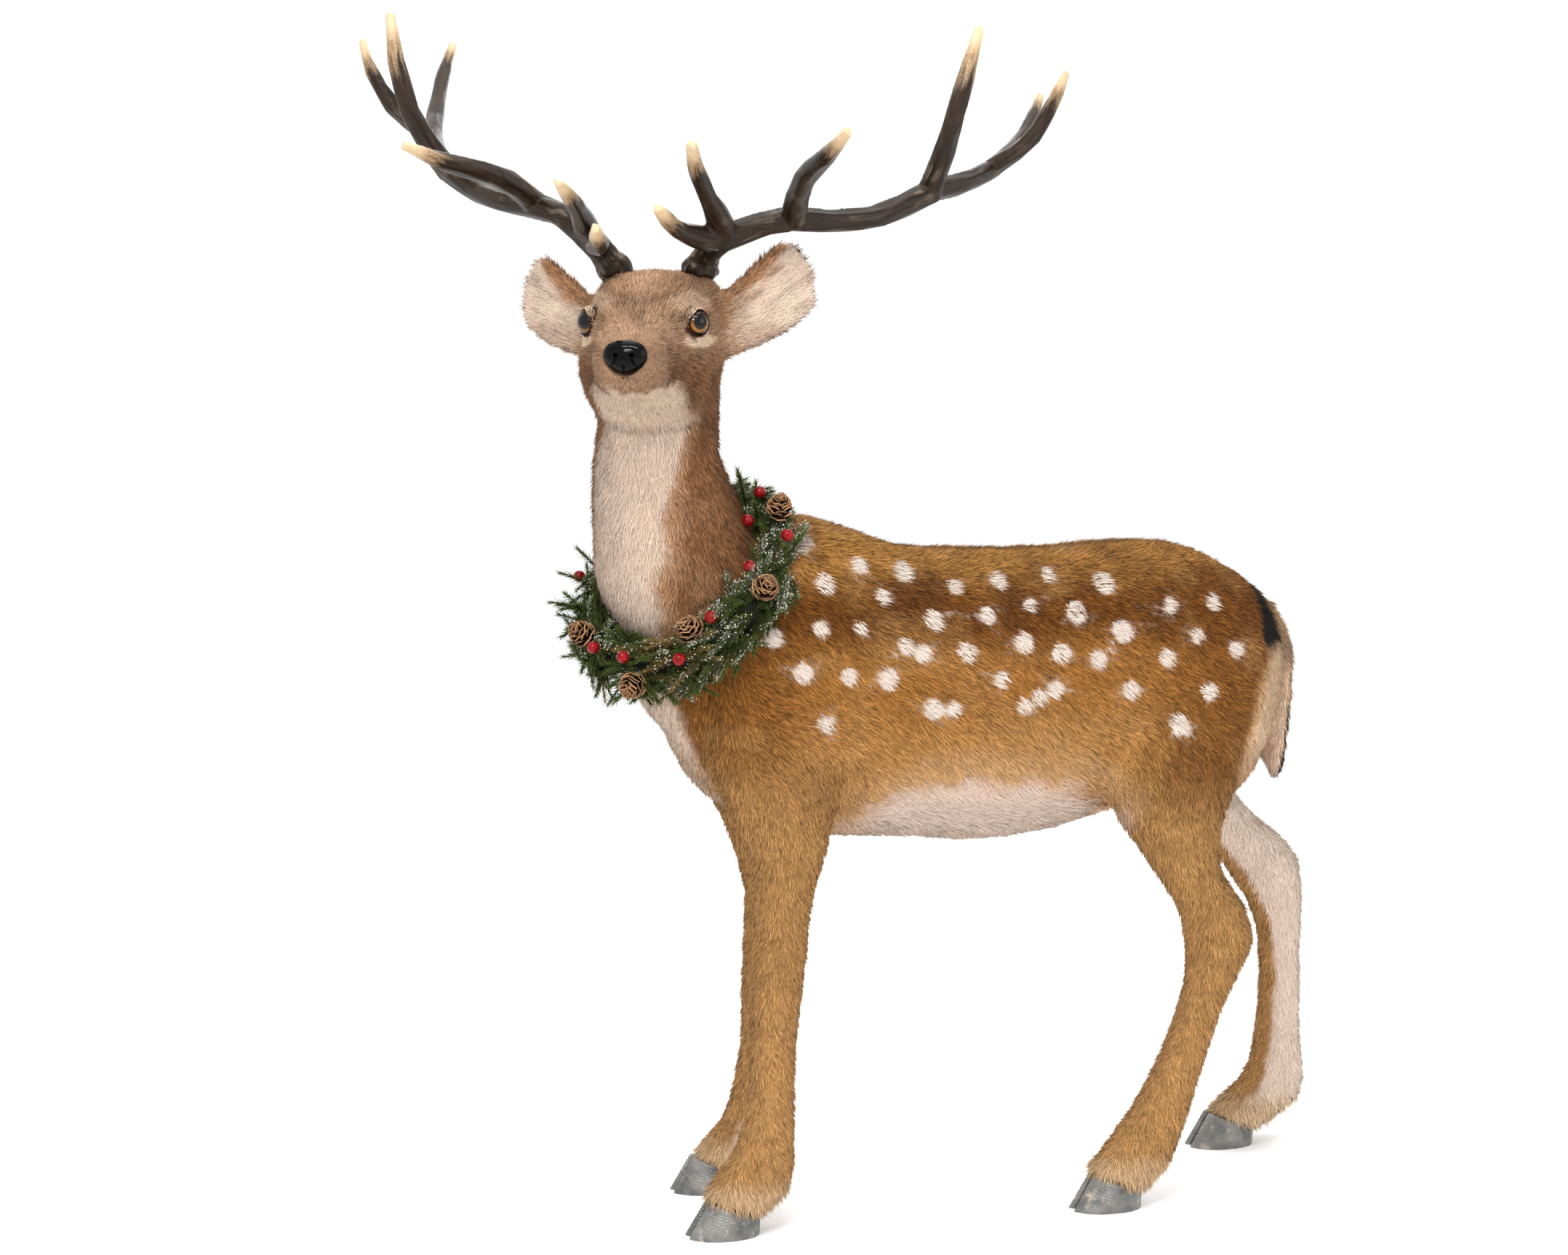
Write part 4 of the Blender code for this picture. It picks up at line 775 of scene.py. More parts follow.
def growCoat():
    mesh = skinMesh
    mesh.calc_loop_triangles()
    owner, share, triangles, loops = tuftRoots(mesh, skinShares)
    corner = triangles[owner]
    roots = (skinPoints[corner] * share[..., None]).sum(axis=1)
    normals = unit((skinNormals[corner] * share[..., None]).sum(axis=1))
    shares = (skinShares[corner] * share[..., None]).sum(axis=1)
    flat = readArray(mesh.uv_layers["lay"].data, "uv", 2)
    lay = (flat[loops[owner]] * share[..., None]).sum(axis=1)

    for side in (1, -1):  # short hair on the lids too
        gaze, front, upright = eyeAxes(side)
        rows = (coatLook["onLids"], 1)
        lean, turn = np.radians(dice.uniform(45, 86, rows)), dice.uniform(0, 2 * math.pi, rows)
        ways = gaze * np.cos(lean) + (front * np.cos(turn) + upright * np.sin(turn)) * np.sin(lean)
        extra = np.array(eyeMiddle[side]) + ways * (eyeShape["radius"] + 0.0014)
        close = np.flatnonzero(np.linalg.norm(roots - np.array(eyeMiddle[side]), axis=1) < 0.04)
        nearest = close[np.argmin(np.linalg.norm(extra[:, None] - roots[None, close], axis=2), axis=1)]
        roots, normals = np.concatenate([roots, extra]), np.concatenate([normals, ways])
        shares, lay = np.concatenate([shares, shares[nearest]]), np.concatenate([lay, lay[nearest]])

    kept = np.ones(len(roots), bool)
    for side in (1, -1):  # none inside the lids
        angle, bearing, distance = eyeAngles(roots, side)
        kept &= ~((distance < eyeShape["near"]) & (angle < feltLimit(bearing)))
    roots, normals, shares, lay = roots[kept], normals[kept], shares[kept], lay[kept]
    body, face = inStance(roots), inHead(roots)
    shape = np.array([tuftShape[name] for name in groupNames])
    length, width, lift = (shares @ shape).T
    lower = shares[:, 5:9].sum(axis=1) * smoothStep(0.35, 0.10, body[:, 2])
    length = length * (1 - 0.10 * lower) * (1 + 0.7 * smoothStep(0.085, 0.065, body[:, 2]))
    muzzle = shares[:, 2] * smoothStep(0.10, 0.18, face[:, 1])
    length = length * (1 - 0.50 * muzzle)
    width = width * (1 - 0.25 * muzzle)
    for side in (1, -1):  # short hair on the lids
        lids = smoothStep(0.040, 0.024, eyeAngles(roots, side)[2])
        length, width = length * (1 - 0.5 * lids), width * (1 - 0.3 * lids)
    for index, sign in ((3, 1), (4, -1)):  # a shaggy rim
        axes = inEar(roots, sign)[1]
        facing = np.abs((normals @ axes)[:, 1])
        rim = shares[:, index] * smoothStep(0.7, 0.35, facing)
        length, width, lift = length * (1 + 0.25 * rim), width * (1 + 0.2 * rim), lift + 8 * rim
    clump = softNoise(roots, 0.011, 30)
    length = length * (1 + 0.22 * dice.standard_normal(len(roots)).clip(-2, 2) + 0.14 * clump)
    lift = np.radians(np.clip(lift * (1 + 0.35 * clump) + 5 * dice.standard_normal(len(roots)), 3, 42))
    way = layOfCoat(roots, normals, shares)
    spread = 0.20 * dice.standard_normal((len(roots), 1)) + 0.25 * softNoise(roots, 0.016, 31)[:, None]
    across = np.cross(normals, way)
    way = unit(way + across * spread)
    across = np.cross(normals, way)

    colour = coatColour(roots + way * (0.58 * length)[:, None], normals, shares)
    uneven = 0.44 * dice.standard_normal(len(roots)) + 0.16 * clump + 0.22 * softNoise(roots, 0.0050, 33)
    colour = colour * (1 + uneven * (1.05 - colour.mean(axis=1)) ** 1.5)[:, None].clip(0.35, 1.8)
    seat = roots - normals * coatLook["sunk"]
    left, right = seat + across * (width / 2)[:, None], seat - across * (width / 2)[:, None]
    deep = seat - normals * coatLook["keel"] + way * 0.001
    tip = seat + way * (length * np.cos(lift))[:, None] + normals * (length * np.sin(lift))[:, None]
    floor = tip[:, 2] < 0.001
    tip[floor, 2] = 0.001
    points = np.stack([left, right, deep, tip], axis=1)
    shading = [unit(normals + 0.7 * across), unit(normals - 0.7 * across), normals, unit(normals + 0.35 * way)]
    shading = np.stack(shading, axis=1)
    # Each hair is painted darker at its root, as painted shade down among the hairs, and lighter toward its tip, as
    # painted light on the tips.
    pale = colour.mean(axis=1, keepdims=True).clip(0, 1)
    low = colour * (0.70 + 0.20 * pale)
    tints = np.stack([low, low, 0.85 * low, colour * (1 + 0.50 * (1 - pale) ** 1.2)], axis=1)
    half = coatLook["patch"] / 2
    patches = np.stack([lay + [-half, -half], lay + [half, -half], lay + [0, -half], lay + [0, half]], axis=1)

    regions = {
        "coatHead": shares[:, 2] > 0.5,
        "coatEars": shares[:, 3:5].sum(axis=1) > 0.4,
        "coatNeck": shares[:, 1] > 0.5,
        "coatForelegs": shares[:, 5:7].sum(axis=1) > 0.5,
        "coatHindlegs": shares[:, 7:9].sum(axis=1) > 0.5,
        "coatShoulders": body[:, 0] < 0.22,
        "coatLeftFlank": (body[:, 1] < 0) & (body[:, 0] < 0.50),
        "coatRightFlank": (body[:, 1] >= 0) & (body[:, 0] < 0.50),
        "coatRump": body[:, 0] >= 0.50,
    }
    free = np.ones(len(roots), bool)
    faceOrder = np.array([[1, 3, 0], [0, 3, 2], [1, 2, 3], [0, 2, 1]])
    material = furMaterial("plush", 0.78, 700.0, 2600.0, 0.0005)
    total = 0
    for name, inside in regions.items():
        chosen = np.flatnonzero(inside & free)
        free[chosen] = False
        if len(chosen) > coatLook["most"]:
            print(name, "thinned from", len(chosen))
            chosen = dice.permutation(chosen)[:coatLook["most"]]
        count = len(chosen)
        faces = (faceOrder[None] + 4 * np.arange(count)[:, None, None]).reshape(-1, 3)
        coat = meshFromArrays(name, points[chosen].reshape(-1, 3), faces)
        setAttribute(coat, "coatColour", tints[chosen].reshape(-1, 3))
        layer = coat.uv_layers.new(name="OFBake")
        layer.data.foreach_set("uv", patches[chosen].reshape(-1, 2)[faces.ravel()].astype(np.float32).ravel())
        coat.normals_split_custom_set_from_vertices(shading[chosen].reshape(-1, 3).astype(np.float32))
        addPiece(name, coat, material, "plush")
        total += 4 * count
        print(name, count, "tufts")
    print("the coat has", total, "triangles")


growCoat()

hoofLook = {"voxel": 0.0019, "cleft": 0.0065, "cleftWidth": 0.0026, "ring": 0.00035, "ringPitch": 1400}


def hoofMaterial():
    material, tree, shader = surface("hoofPaint", 0.42, Metallic=0.35)
    grained(tree, shader, 90.0, 420.0, 0.0009)
    scuffs = useGroup(tree, blotches, Size=60.0, Low=0.58, High=0.72)
    # The lighter grey blotches are painted highlight, patches that stand in for the silver paint's sheen.
    wearAndHighlight = useGroup(tree, blotches, Size=26.0, Low=0.38, High=0.62)
    colour = mixColours(tree, wearAndHighlight.outputs["Mask"], paint(84, 85, 84), paint(126, 125, 121))
    colour = mixColours(tree, scuffs.outputs["Mask"], colour, paint(178, 166, 148))
    # Painted shade: near-black in the cleft between the toes.
    colour = mixColours(tree, attribute(tree, "cleft"), colour, paint(38, 36, 36))
    tree.links.new(colour, shader.inputs["Base Color"])
    tree.links.new(mapped(tree, scuffs.outputs["Mask"], 0, 1, 0.36, 0.62), shader.inputs["Roughness"])
    return material


hoofPaint = hoofMaterial()
for label in ("front_left", "front_right", "hind_left", "hind_right"):
    name = f"hoof_{label}"
    low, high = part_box(name)
    middle = (low.y + high.y) / 2
    mesh = remeshed(nodeCopy(name), name, hoofLook["voxel"])
    points = relaxed(pointsOf(mesh), edgesOf(mesh), 10)
    setPoints(mesh, points)
    normals = normalsOf(mesh)
    off = (points[:, 1] - middle) / hoofLook["cleftWidth"]
    front = smoothStep(low.x + 0.062, low.x + 0.030, points[:, 0]) * (normals[:, 2] > -0.5)
    cleft = np.exp(-off ** 2) * front
    points = points - normals * (hoofLook["cleft"] * cleft)[:, None]
    rings = hoofLook["ring"] * np.sin((points[:, 2] + 0.35 * points[:, 0]) * hoofLook["ringPitch"])
    rings = rings * smoothStep(0.010, 0.020, points[:, 2])
    points = points + normals * rings[:, None]
    points[:, 2] = np.maximum(points[:, 2], 0.0)
    setPoints(mesh, points)
    # The cleft share also sets the painted shade in the cleft.
    setAttribute(mesh, "cleft", cleft * 0.85)
    addPiece(f"{name}_shell", mesh, hoofPaint, "hoof_paint", name)
print("the hooves are shaped")

# The iris is painted dark in its upper part, as painted shade under the upper lid, and amber in its lower part, as
# painted light.
eyeColours = {"pupil": (5, 5, 5), "upper": (30, 18, 11), "lower": (158, 102, 42),
              "edge": (14, 9, 7), "pupilAngle": 29, "irisAngle": 45}


def eyeMaterial():
    material, tree, shader = surface("eyeGlass", 0.03, Specular_IOR_Level=0.30)
    spokes = addNode(tree, "ShaderNodeTexNoise", Scale=900.0, Detail=2.0)
    place = addNode(tree, "ShaderNodeTexCoord")
    tree.links.new(place.outputs["Object"], spokes.inputs["Vector"])
    angle = attribute(tree, "fromGaze")
    # irisLight places the painted light and shade on the iris: lit below, shaded above.
    low = mapped(tree, attribute(tree, "irisLight"), -0.35, 0.30)
    iris = mixColours(tree, low, paint(*eyeColours["upper"]), paint(*eyeColours["lower"]))
    iris = mixColours(tree, mapped(tree, spokes.outputs["Fac"], 0.3, 0.7, 0, 0.35), iris, paint(*eyeColours["upper"]))
    pupil, ring = eyeColours["pupilAngle"], eyeColours["irisAngle"]
    colour = mixColours(tree, mapped(tree, angle, pupil - 1, pupil + 4), paint(*eyeColours["pupil"]), iris)
    colour = mixColours(tree, mapped(tree, angle, ring - 4, ring + 4), colour, paint(*eyeColours["edge"]))
    tree.links.new(colour, shader.inputs["Base Color"])
    return material


def feltMaterial():
    material, tree, shader = surface("lidFelt", 0.9, Specular_IOR_Level=0.1)
    grain = grained(tree, shader, 700.0, 2400.0, 0.0003)
    colour = mixColours(tree, grain, paint(26, 12, 9), paint(44, 21, 15))
    tree.links.new(colour, shader.inputs["Base Color"])
    return material


def eyeSphere(side, axis, radius, segments, rings):  # round the eye's middle, with a pole along the axis
    bm = bmesh.new()
    bmesh.ops.create_uvsphere(bm, u_segments=segments, v_segments=rings, radius=radius)
    bmesh.ops.rotate(bm, matrix=Vector((0, 0, 1)).rotation_difference(axis).to_matrix(), verts=bm.verts)
    bmesh.ops.translate(bm, vec=eyeMiddle[side], verts=bm.verts)
    return bm


lidLook = {"lift": 0.0006, "reach": 102, "thickness": 0.0009}


def makeLids(side, label, material):  # a felt ring over the ball, open as far as lidOpen says
    radius = eyeShape["radius"] + lidLook["lift"]
    bm = eyeSphere(side, eyeSocket[side], radius, 72, 28)
    angle, bearing = eyeAngles(np.array([vertex.co for vertex in bm.verts]), side)[:2]
    poles = [vertex for vertex, a in zip(bm.verts, angle) if a < 3 or a > 177]
    edge = lidEdge(bearing)
    wanted = np.radians(edge + (lidLook["reach"] - edge) * np.clip((angle - 6) / 168, 0, 1))
    axis = eyeSocket[side]
    for vertex, turn in zip(bm.verts, wanted):
        away = vertex.co - eyeMiddle[side]
        flat = (away - axis * away.dot(axis)).normalized()
        vertex.co = eyeMiddle[side] + (axis * math.cos(turn) + flat * math.sin(turn)) * radius
    bmesh.ops.delete(bm, geom=poles, context="VERTS")
    bmesh.ops.recalc_face_normals(bm, faces=bm.faces)
    bmesh.ops.solidify(bm, geom=bm.faces[:], thickness=-lidLook["thickness"])
    bmesh.ops.recalc_face_normals(bm, faces=bm.faces)
    addPiece(f"lids_{label}", meshFrom(f"lids_{label}", bm), material, "plush")


felt = feltMaterial()
makeLids(1, "right", felt)
makeLids(-1, "left", felt)
eyeGlass = eyeMaterial()
for side, name in ((1, "eye_right"), (-1, "eye_left")):
    mesh = meshFrom(name, eyeSphere(side, eyeGaze[side], eyeShape["radius"], 64, 40))
    away = unit(pointsOf(mesh) - np.array(eyeMiddle[side]))
    setAttribute(mesh, "fromGaze", np.degrees(np.arccos(np.clip(away @ np.array(eyeGaze[side]), -1, 1))))
    # Painted light and shade on the iris: higher below the ball's middle, and lowered on the right eye so that its
    # iris is painted darker, as painted shade where it is seen from the side.
    setAttribute(mesh, "irisLight", -away[:, 2] - 0.45 * (side > 0))
    addPiece(f"{name}_ball", mesh, eyeGlass, "eye_glass", name)

noseShape = {"middle": (0.0, 0.196, -0.103), "half": (0.0272, 0.0130, 0.0198)}


def noseMaterial():
    material, tree, shader = surface("nosePlastic", 0.06, Specular_IOR_Level=0.12)
    grain = grained(tree, shader, 500.0, 1500.0, 0.00002)
    colour = mixColours(tree, mapped(tree, grain, 0.8, 1.3), paint(2, 2, 2), paint(6, 6, 6))
    tree.links.new(colour, shader.inputs["Base Color"])
    return material


def makeNose():
    bm = bmesh.new()
    bmesh.ops.create_uvsphere(bm, u_segments=140, v_segments=90, radius=1.0)
    mesh = meshFrom("nose", bm)
    x, y, z = pointsOf(mesh).T
    x = x * (1.0 - 0.34 * np.maximum(0.0, -z) ** 1.5) * (1.0 + 0.26 * np.maximum(0.0, z) ** 2)
    wide = np.abs(x)
    t = np.clip((0.16 - z) / 0.80, 0, 1)
    bend = wide - (0.34 + 0.02 * t + 0.24 * t * t)  # away from the curl that runs down from each nostril
    curl = np.exp(-(bend / 0.05) ** 2) * smoothStep(0.20, 0.10, z) * smoothStep(-0.78, -0.60, z)
    nostril = np.exp(-(((wide - 0.36) / 0.10) ** 2 + ((z - 0.14) / 0.11) ** 2))
    slit = np.exp(-(x / (0.035 + 0.06 * np.maximum(0, -0.55 - z))) ** 2) * smoothStep(-0.25, -0.50, z)
    wing = np.exp(-(((wide - 0.72) / 0.24) ** 2 + ((z - 0.05) / 0.42) ** 2))
    lobe = np.exp(-(((wide - 0.24) / 0.15) ** 2 + ((z + 0.66) / 0.25) ** 2))
    push = 1 + (y > 0) * (0.10 * wing + 0.10 * lobe - 0.42 * nostril - 0.34 * curl - 0.40 * slit)
    points = np.stack([x, np.minimum(y * push, 1.0), z], axis=1) * noseShape["half"]
    points = (points + np.array(noseShape["middle"])) @ headTurn.T + headPlace
    setPoints(mesh, points)
    addPiece("nose_pad", mesh, noseMaterial(), "nose_plastic", "nose")


makeNose()
print("the face has its eyes and nose")

antlerLook = {"swell": 0.0003, "voxel": 0.0024, "rounds": 20, "groove": 0.00036, "dent": 0.0011,
              "knobs": 0.0020, "flare": 0.0030}
# Routes in the head frame with x out to the antler's own side: x, y, z and radius, from the burr outward.
sharedRoutes = {
    "brow": [(0.078, 0.006, 0.034, 0.013), (0.064, 0.050, 0.038, 0.0135), (0.049, 0.099, 0.047, 0.0110),
             (0.041, 0.140, 0.060, 0.0090), (0.035, 0.173, 0.075, 0.0055)],
    "fore": [(0.322, -0.166, 0.099, 0.014), (0.342, -0.138, 0.140, 0.0135), (0.357, -0.116, 0.181, 0.0120),
             (0.374, -0.118, 0.242, 0.0100), (0.388, -0.137, 0.303, 0.0055)],
    "rear": [(0.322, -0.166, 0.098, 0.0140), (0.360, -0.242, 0.110, 0.0130), (0.388, -0.320, 0.130, 0.0120),
             (0.408, -0.400, 0.158, 0.0105), (0.421, -0.475, 0.194, 0.0085), (0.427, -0.543, 0.232, 0.0050)],
    "last": [(0.384, -0.306, 0.127, 0.0115), (0.434, -0.300, 0.161, 0.0105), (0.466, -0.298, 0.211, 0.0080),
             (0.483, -0.309, 0.254, 0.0050)],
}
ownRoutes = {
    -1: {
        "burr": [(0.049, -0.016, -0.012, 0.0195), (0.051, -0.016, -0.001, 0.0205), (0.055, -0.013, 0.008, 0.0155)],
        "beam": [(0.046, -0.016, -0.030, 0.0170), (0.050, -0.015, 0.000, 0.0165), (0.061, -0.006, 0.018, 0.0150),
                 (0.083, 0.006, 0.035, 0.0165), (0.126, -0.010, 0.053, 0.0145), (0.167, -0.032, 0.061, 0.0150),
                 (0.214, -0.060, 0.059, 0.0135), (0.266, -0.112, 0.066, 0.0135), (0.325, -0.168, 0.097, 0.0150)],
        "bez": [(0.088, 0.006, 0.043, 0.0150), (0.085, 0.050, 0.066, 0.0145), (0.080, 0.094, 0.090, 0.0110),
                (0.078, 0.148, 0.122, 0.0090), (0.081, 0.192, 0.151, 0.0055)],
        "trez": [(0.168, -0.030, 0.060, 0.0150), (0.180, 0.012, 0.090, 0.0145), (0.200, 0.065, 0.115, 0.0130),
                 (0.235, 0.130, 0.136, 0.0105), (0.269, 0.187, 0.165, 0.0055)],
    },
    1: {
        "burr": [(0.058, -0.016, -0.010, 0.0200), (0.060, -0.016, 0.001, 0.0205), (0.065, -0.012, 0.011, 0.0160)],
        "beam": [(0.054, -0.016, -0.030, 0.0170), (0.060, -0.015, 0.000, 0.0165), (0.073, -0.004, 0.022, 0.0160),
                 (0.089, 0.006, 0.043, 0.0165), (0.126, -0.010, 0.065, 0.0145), (0.167, -0.032, 0.072, 0.0150),
                 (0.214, -0.060, 0.073, 0.0135), (0.266, -0.112, 0.079, 0.0135), (0.325, -0.168, 0.101, 0.0150)],
        "bez": [(0.087, 0.006, 0.048, 0.0150), (0.082, 0.050, 0.066, 0.0145), (0.076, 0.094, 0.084, 0.0110),
                (0.073, 0.148, 0.108, 0.0090), (0.076, 0.192, 0.132, 0.0055)],
        "trez": [(0.168, -0.030, 0.078, 0.0150), (0.180, 0.012, 0.102, 0.0145), (0.200, 0.065, 0.124, 0.0130),
                 (0.235, 0.130, 0.143, 0.0105), (0.269, 0.187, 0.169, 0.0055)],
    },
}
# How far down from its point each tine is pale, in metres.
paleEnds = {"brow": 0.080, "bez": 0.088, "trez": 0.092, "fore": 0.112, "rear": 0.086, "last": 0.080}


def antlerFrame(side):
    if side < 0:
        return headFrame @ Matrix.Diagonal((-1, 1, 1, 1))
    burr = Vector((0.053, -0.015, 0.0))
    turned = Matrix.Rotation(math.radians(-1.8), 4, "Z") @ Matrix.Rotation(math.radians(-1.9), 4, "Y")
    turned = turned @ Matrix.Rotation(math.radians(-7.1), 4, "X")
    return headFrame @ Matrix.Translation(burr) @ turned @ Matrix.Translation(-burr)


def routeSamples(side):  # points, tangents, radii, way along and paleness, over all the routes
    frameMatrix = np.array(antlerFrame(side))
    rows = []
    for index, (name, route) in enumerate({**ownRoutes[side], **sharedRoutes}.items()):
        stations = np.array(route)
        steps = np.linspace(0, len(stations) - 1, 14 * (len(stations) - 1))
        curve = np.stack([np.interp(steps, np.arange(len(stations)), stations[:, k]) for k in range(4)], axis=1)
        place = curve[:, :3] @ frameMatrix[:3, :3].T + frameMatrix[:3, 3]
        run = np.gradient(place, axis=0)
        along = np.concatenate([[0], np.cumsum(np.linalg.norm(np.diff(place, axis=0), axis=1))])
        pale = smoothStep(paleEnds[name], 0.1 * paleEnds[name], along[-1] - along) if name in paleEnds else 0 * along
        rows.append(np.column_stack([place, unit(run), curve[:, 3], along + index * 0.37, pale]))
    return np.concatenate(rows)


def antlerMaterial():
    material, tree, shader = surface("antlerResin", 0.36, Specular_IOR_Level=0.20)
    run = attribute(tree, "grain", "Vector")
    streaks = addNode(tree, "ShaderNodeTexNoise", Scale=170.0, Detail=5.0, Roughness=0.6)
    tree.links.new(run, streaks.inputs["Vector"])
    specks = addNode(tree, "ShaderNodeTexNoise", Scale=520.0, Detail=2.0)
    place = addNode(tree, "ShaderNodeTexCoord")
    tree.links.new(place.outputs["Object"], specks.inputs["Vector"])
    colour = mixColours(tree, mapped(tree, streaks.outputs["Fac"], 0.38, 0.64), paint(26, 17, 10), paint(48, 34, 23))
    # Lighter on the worn crests: partly real wear of the paint, partly painted highlight.
    wornAndLit = addNode(tree, "ShaderNodeMath", operation="MULTIPLY")
    tree.links.new(attribute(tree, "wearAndHighlight"), wornAndLit.inputs[0])
    tree.links.new(mapped(tree, streaks.outputs["Fac"], 0.45, 0.62), wornAndLit.inputs[1])
    colour = mixColours(tree, wornAndLit.outputs["Value"], colour, paint(140, 126, 110))
    speckled = addNode(tree, "ShaderNodeMath", operation="ADD")
    tree.links.new(attribute(tree, "tip"), speckled.inputs[0])
    tree.links.new(mapped(tree, streaks.outputs["Fac"], 0.3, 0.7, -0.35, 0.35), speckled.inputs[1])
    pale = mixColours(tree, mapped(tree, attribute(tree, "tip"), 0.75, 1.0), paint(146, 118, 86), paint(196, 170, 134))
    pale = mixColours(tree, mapped(tree, specks.outputs["Fac"], 0.55, 0.70, 0, 0.5), pale, paint(222, 206, 182))
    colour = mixColours(tree, mapped(tree, speckled.outputs["Value"], 0.25, 0.75), colour, pale)
    tree.links.new(colour, shader.inputs["Base Color"])
    bump = addNode(tree, "ShaderNodeBump", Strength=0.6, Distance=0.0007)
    tree.links.new(streaks.outputs["Fac"], bump.inputs["Height"])
    tree.links.new(bump.outputs["Normal"], shader.inputs["Normal"])
    tree.links.new(mapped(tree, streaks.outputs["Fac"], 0.3, 0.7, 0.28, 0.50), shader.inputs["Roughness"])
    return material


def makeAntler(side, label, material):
    names = [f"antler_{label}_{part}" for part in ("base", "beam", "fore_tine", "rear_branch")]
    mesh = remeshed(swollen(nodeCopy(*names), antlerLook["swell"]), f"antler_{label}", antlerLook["voxel"])
    edges = edgesOf(mesh)
    points = relaxed(pointsOf(mesh), edges, antlerLook["rounds"])
    setPoints(mesh, points)
    rows = routeSamples(side)
    nearest = np.concatenate([
        np.argmin(np.linalg.norm(part[:, None] - rows[None, :, :3], axis=2) / rows[None, :, 6], axis=1)
        for part in np.array_split(points, 12)])
    chosen = rows[nearest]
    away = points - chosen[:, :3]
    shift = (away * chosen[:, 3:6]).sum(axis=1)
    away -= chosen[:, 3:6] * shift[:, None]
    first = unit(np.cross(chosen[:, 3:6], np.array([0.12, 0.95, 0.28])))
    second = np.cross(chosen[:, 3:6], first)
    along = chosen[:, 7] + shift
    around = unit(np.stack([(away * first).sum(axis=1), (away * second).sum(axis=1)], axis=1)) * chosen[:, 6:7]
    grain = np.column_stack([0.10 * along, around])
    groove = softNoise(grain, 0.0055, 40) + 0.5 * softNoise(grain, 0.0028, 41)
    dent = softNoise(grain * [2.2, 1, 1], 0.014, 44)
    burrPlace = np.array(antlerFrame(side) @ Vector(ownRoutes[side]["burr"][1][:3]))
    fromBurr = np.linalg.norm(points - burrPlace, axis=1)
    nearBurr = smoothStep(0.034, 0.020, fromBurr)
    knobs = np.maximum(softNoise(points, 0.0075, 42), -0.2)
    tipShare = chosen[:, 8]
    bare = 1 - tipShare
    push = -antlerLook["groove"] * np.maximum(groove, -0.3) * bare + antlerLook["dent"] * dent * bare
    crown = smoothStep(0.016, 0.004, np.abs(inHead(points)[:, 2] - 0.001))
    push += (antlerLook["knobs"] * knobs + antlerLook["flare"] * crown) * nearBurr
    push = relaxed(push[:, None], edges, 1, False)[:, 0]
    points = points + normalsOf(mesh) * push[:, None]
    setPoints(mesh, points)
    crest = smoothStep(0.05, -0.35, groove) * 0.9
    fork = np.exp(-((fromBurr - 0.045) / 0.05) ** 2)
    for place in ((0.168, -0.030, 0.065), (0.325, -0.166, 0.098), (0.384, -0.306, 0.127)):
        away = points - np.array(antlerFrame(side) @ Vector(place))
        fork += 0.8 * np.exp(-(np.linalg.norm(away, axis=1) / 0.045) ** 2)
    # Lighter on the groove crests near the forks and on the burr's knobs: partly real wear, partly painted highlight.
    wearAndHighlight = (0.35 + 0.65 * crest) * np.clip(0.12 + fork, 0, 1) * smoothStep(0.05, 0.55, softNoise(points, 0.016, 43))
    wearAndHighlight += nearBurr * smoothStep(0.0, 0.6, knobs)
    setAttribute(mesh, "grain", grain)
    setAttribute(mesh, "wearAndHighlight", np.clip(wearAndHighlight, 0, 1))
    setAttribute(mesh, "tip", tipShare)
    shadeSmooth(mesh)
    addPiece(f"antler_{label}", mesh, material, "antler_resin", *names)


antlerResin = antlerMaterial()
makeAntler(-1, "left", antlerResin)
makeAntler(1, "right", antlerResin)
print("the antlers are grained")

wreathShape = {"centre": (-0.018, -0.002, 0.816), "low": 32, "reach": 0.094, "drop": 0.089, "side": 0.125,
               "tube": 0.036}


def ringPoint(turn):  # turn 0 is the low side, and a quarter turn is the stag's left
    low = math.radians(wreathShape["low"])
    down = Vector((-math.cos(low), -math.sin(low), 0)) * wreathShape["reach"]
    down.z = -wreathShape["drop"]
    side = Vector((math.sin(low), -math.cos(low), 0)) * wreathShape["side"]
    return stance + Vector(wreathShape["centre"]) + down * math.cos(turn) + side * math.sin(turn)


def ringAxes(turn):  # along the ring, outward, and square to both
    along = (ringPoint(turn + 0.01) - ringPoint(turn - 0.01)).normalized()
    out = ringPoint(turn) - stance - Vector(wreathShape["centre"])
    out = (out - along * out.dot(along)).normalized()
    return along, out, along.cross(out)


def ringSurface(turn, lean, reach):
    out, over = ringAxes(turn)[1:]
    return ringPoint(turn) + (out * math.cos(lean) + over * math.sin(lean)) * reach


def spikes(starts, ways, lengths, widths, colours, tipColours):  # closed three-sided needles as points, faces, colours
    helper = np.where(np.abs(ways[:, 2:3]) < 0.9, np.array([[0.0, 0.0, 1.0]]), np.array([[1.0, 0.0, 0.0]]))
    first = unit(np.cross(ways, helper))
    second = np.cross(ways, first)
    half = (widths / 2)[:, None]
    ring = [starts + half * (first * math.cos(a) + second * math.sin(a)) for a in (0.5, 2.594, 4.689)]
    points = np.stack([*ring, starts + ways * lengths[:, None]], axis=1)
    order = np.array([[0, 1, 3], [1, 2, 3], [2, 0, 3], [0, 2, 1]])
    faces = (order[None] + 4 * np.arange(len(starts))[:, None, None]).reshape(-1, 3)
    tints = np.stack([colours, colours, colours, tipColours], axis=1)
    return points.reshape(-1, 3), faces, tints.reshape(-1, 3)


firLook = {"sprigs": 860, "needles": 58, "needle": 0.0128, "width": 0.0014, "sprig": 0.047, "stem": 0.0022,
          "glitter": 0.0021}
firPaint = {"green": (30, 42, 12), "light": (88, 102, 44), "frost": (226, 222, 208), "gold": (150, 118, 70),
            "twig": (52, 36, 18)}
firTone = {name: colourOf(*rgb) for name, rgb in firPaint.items()}


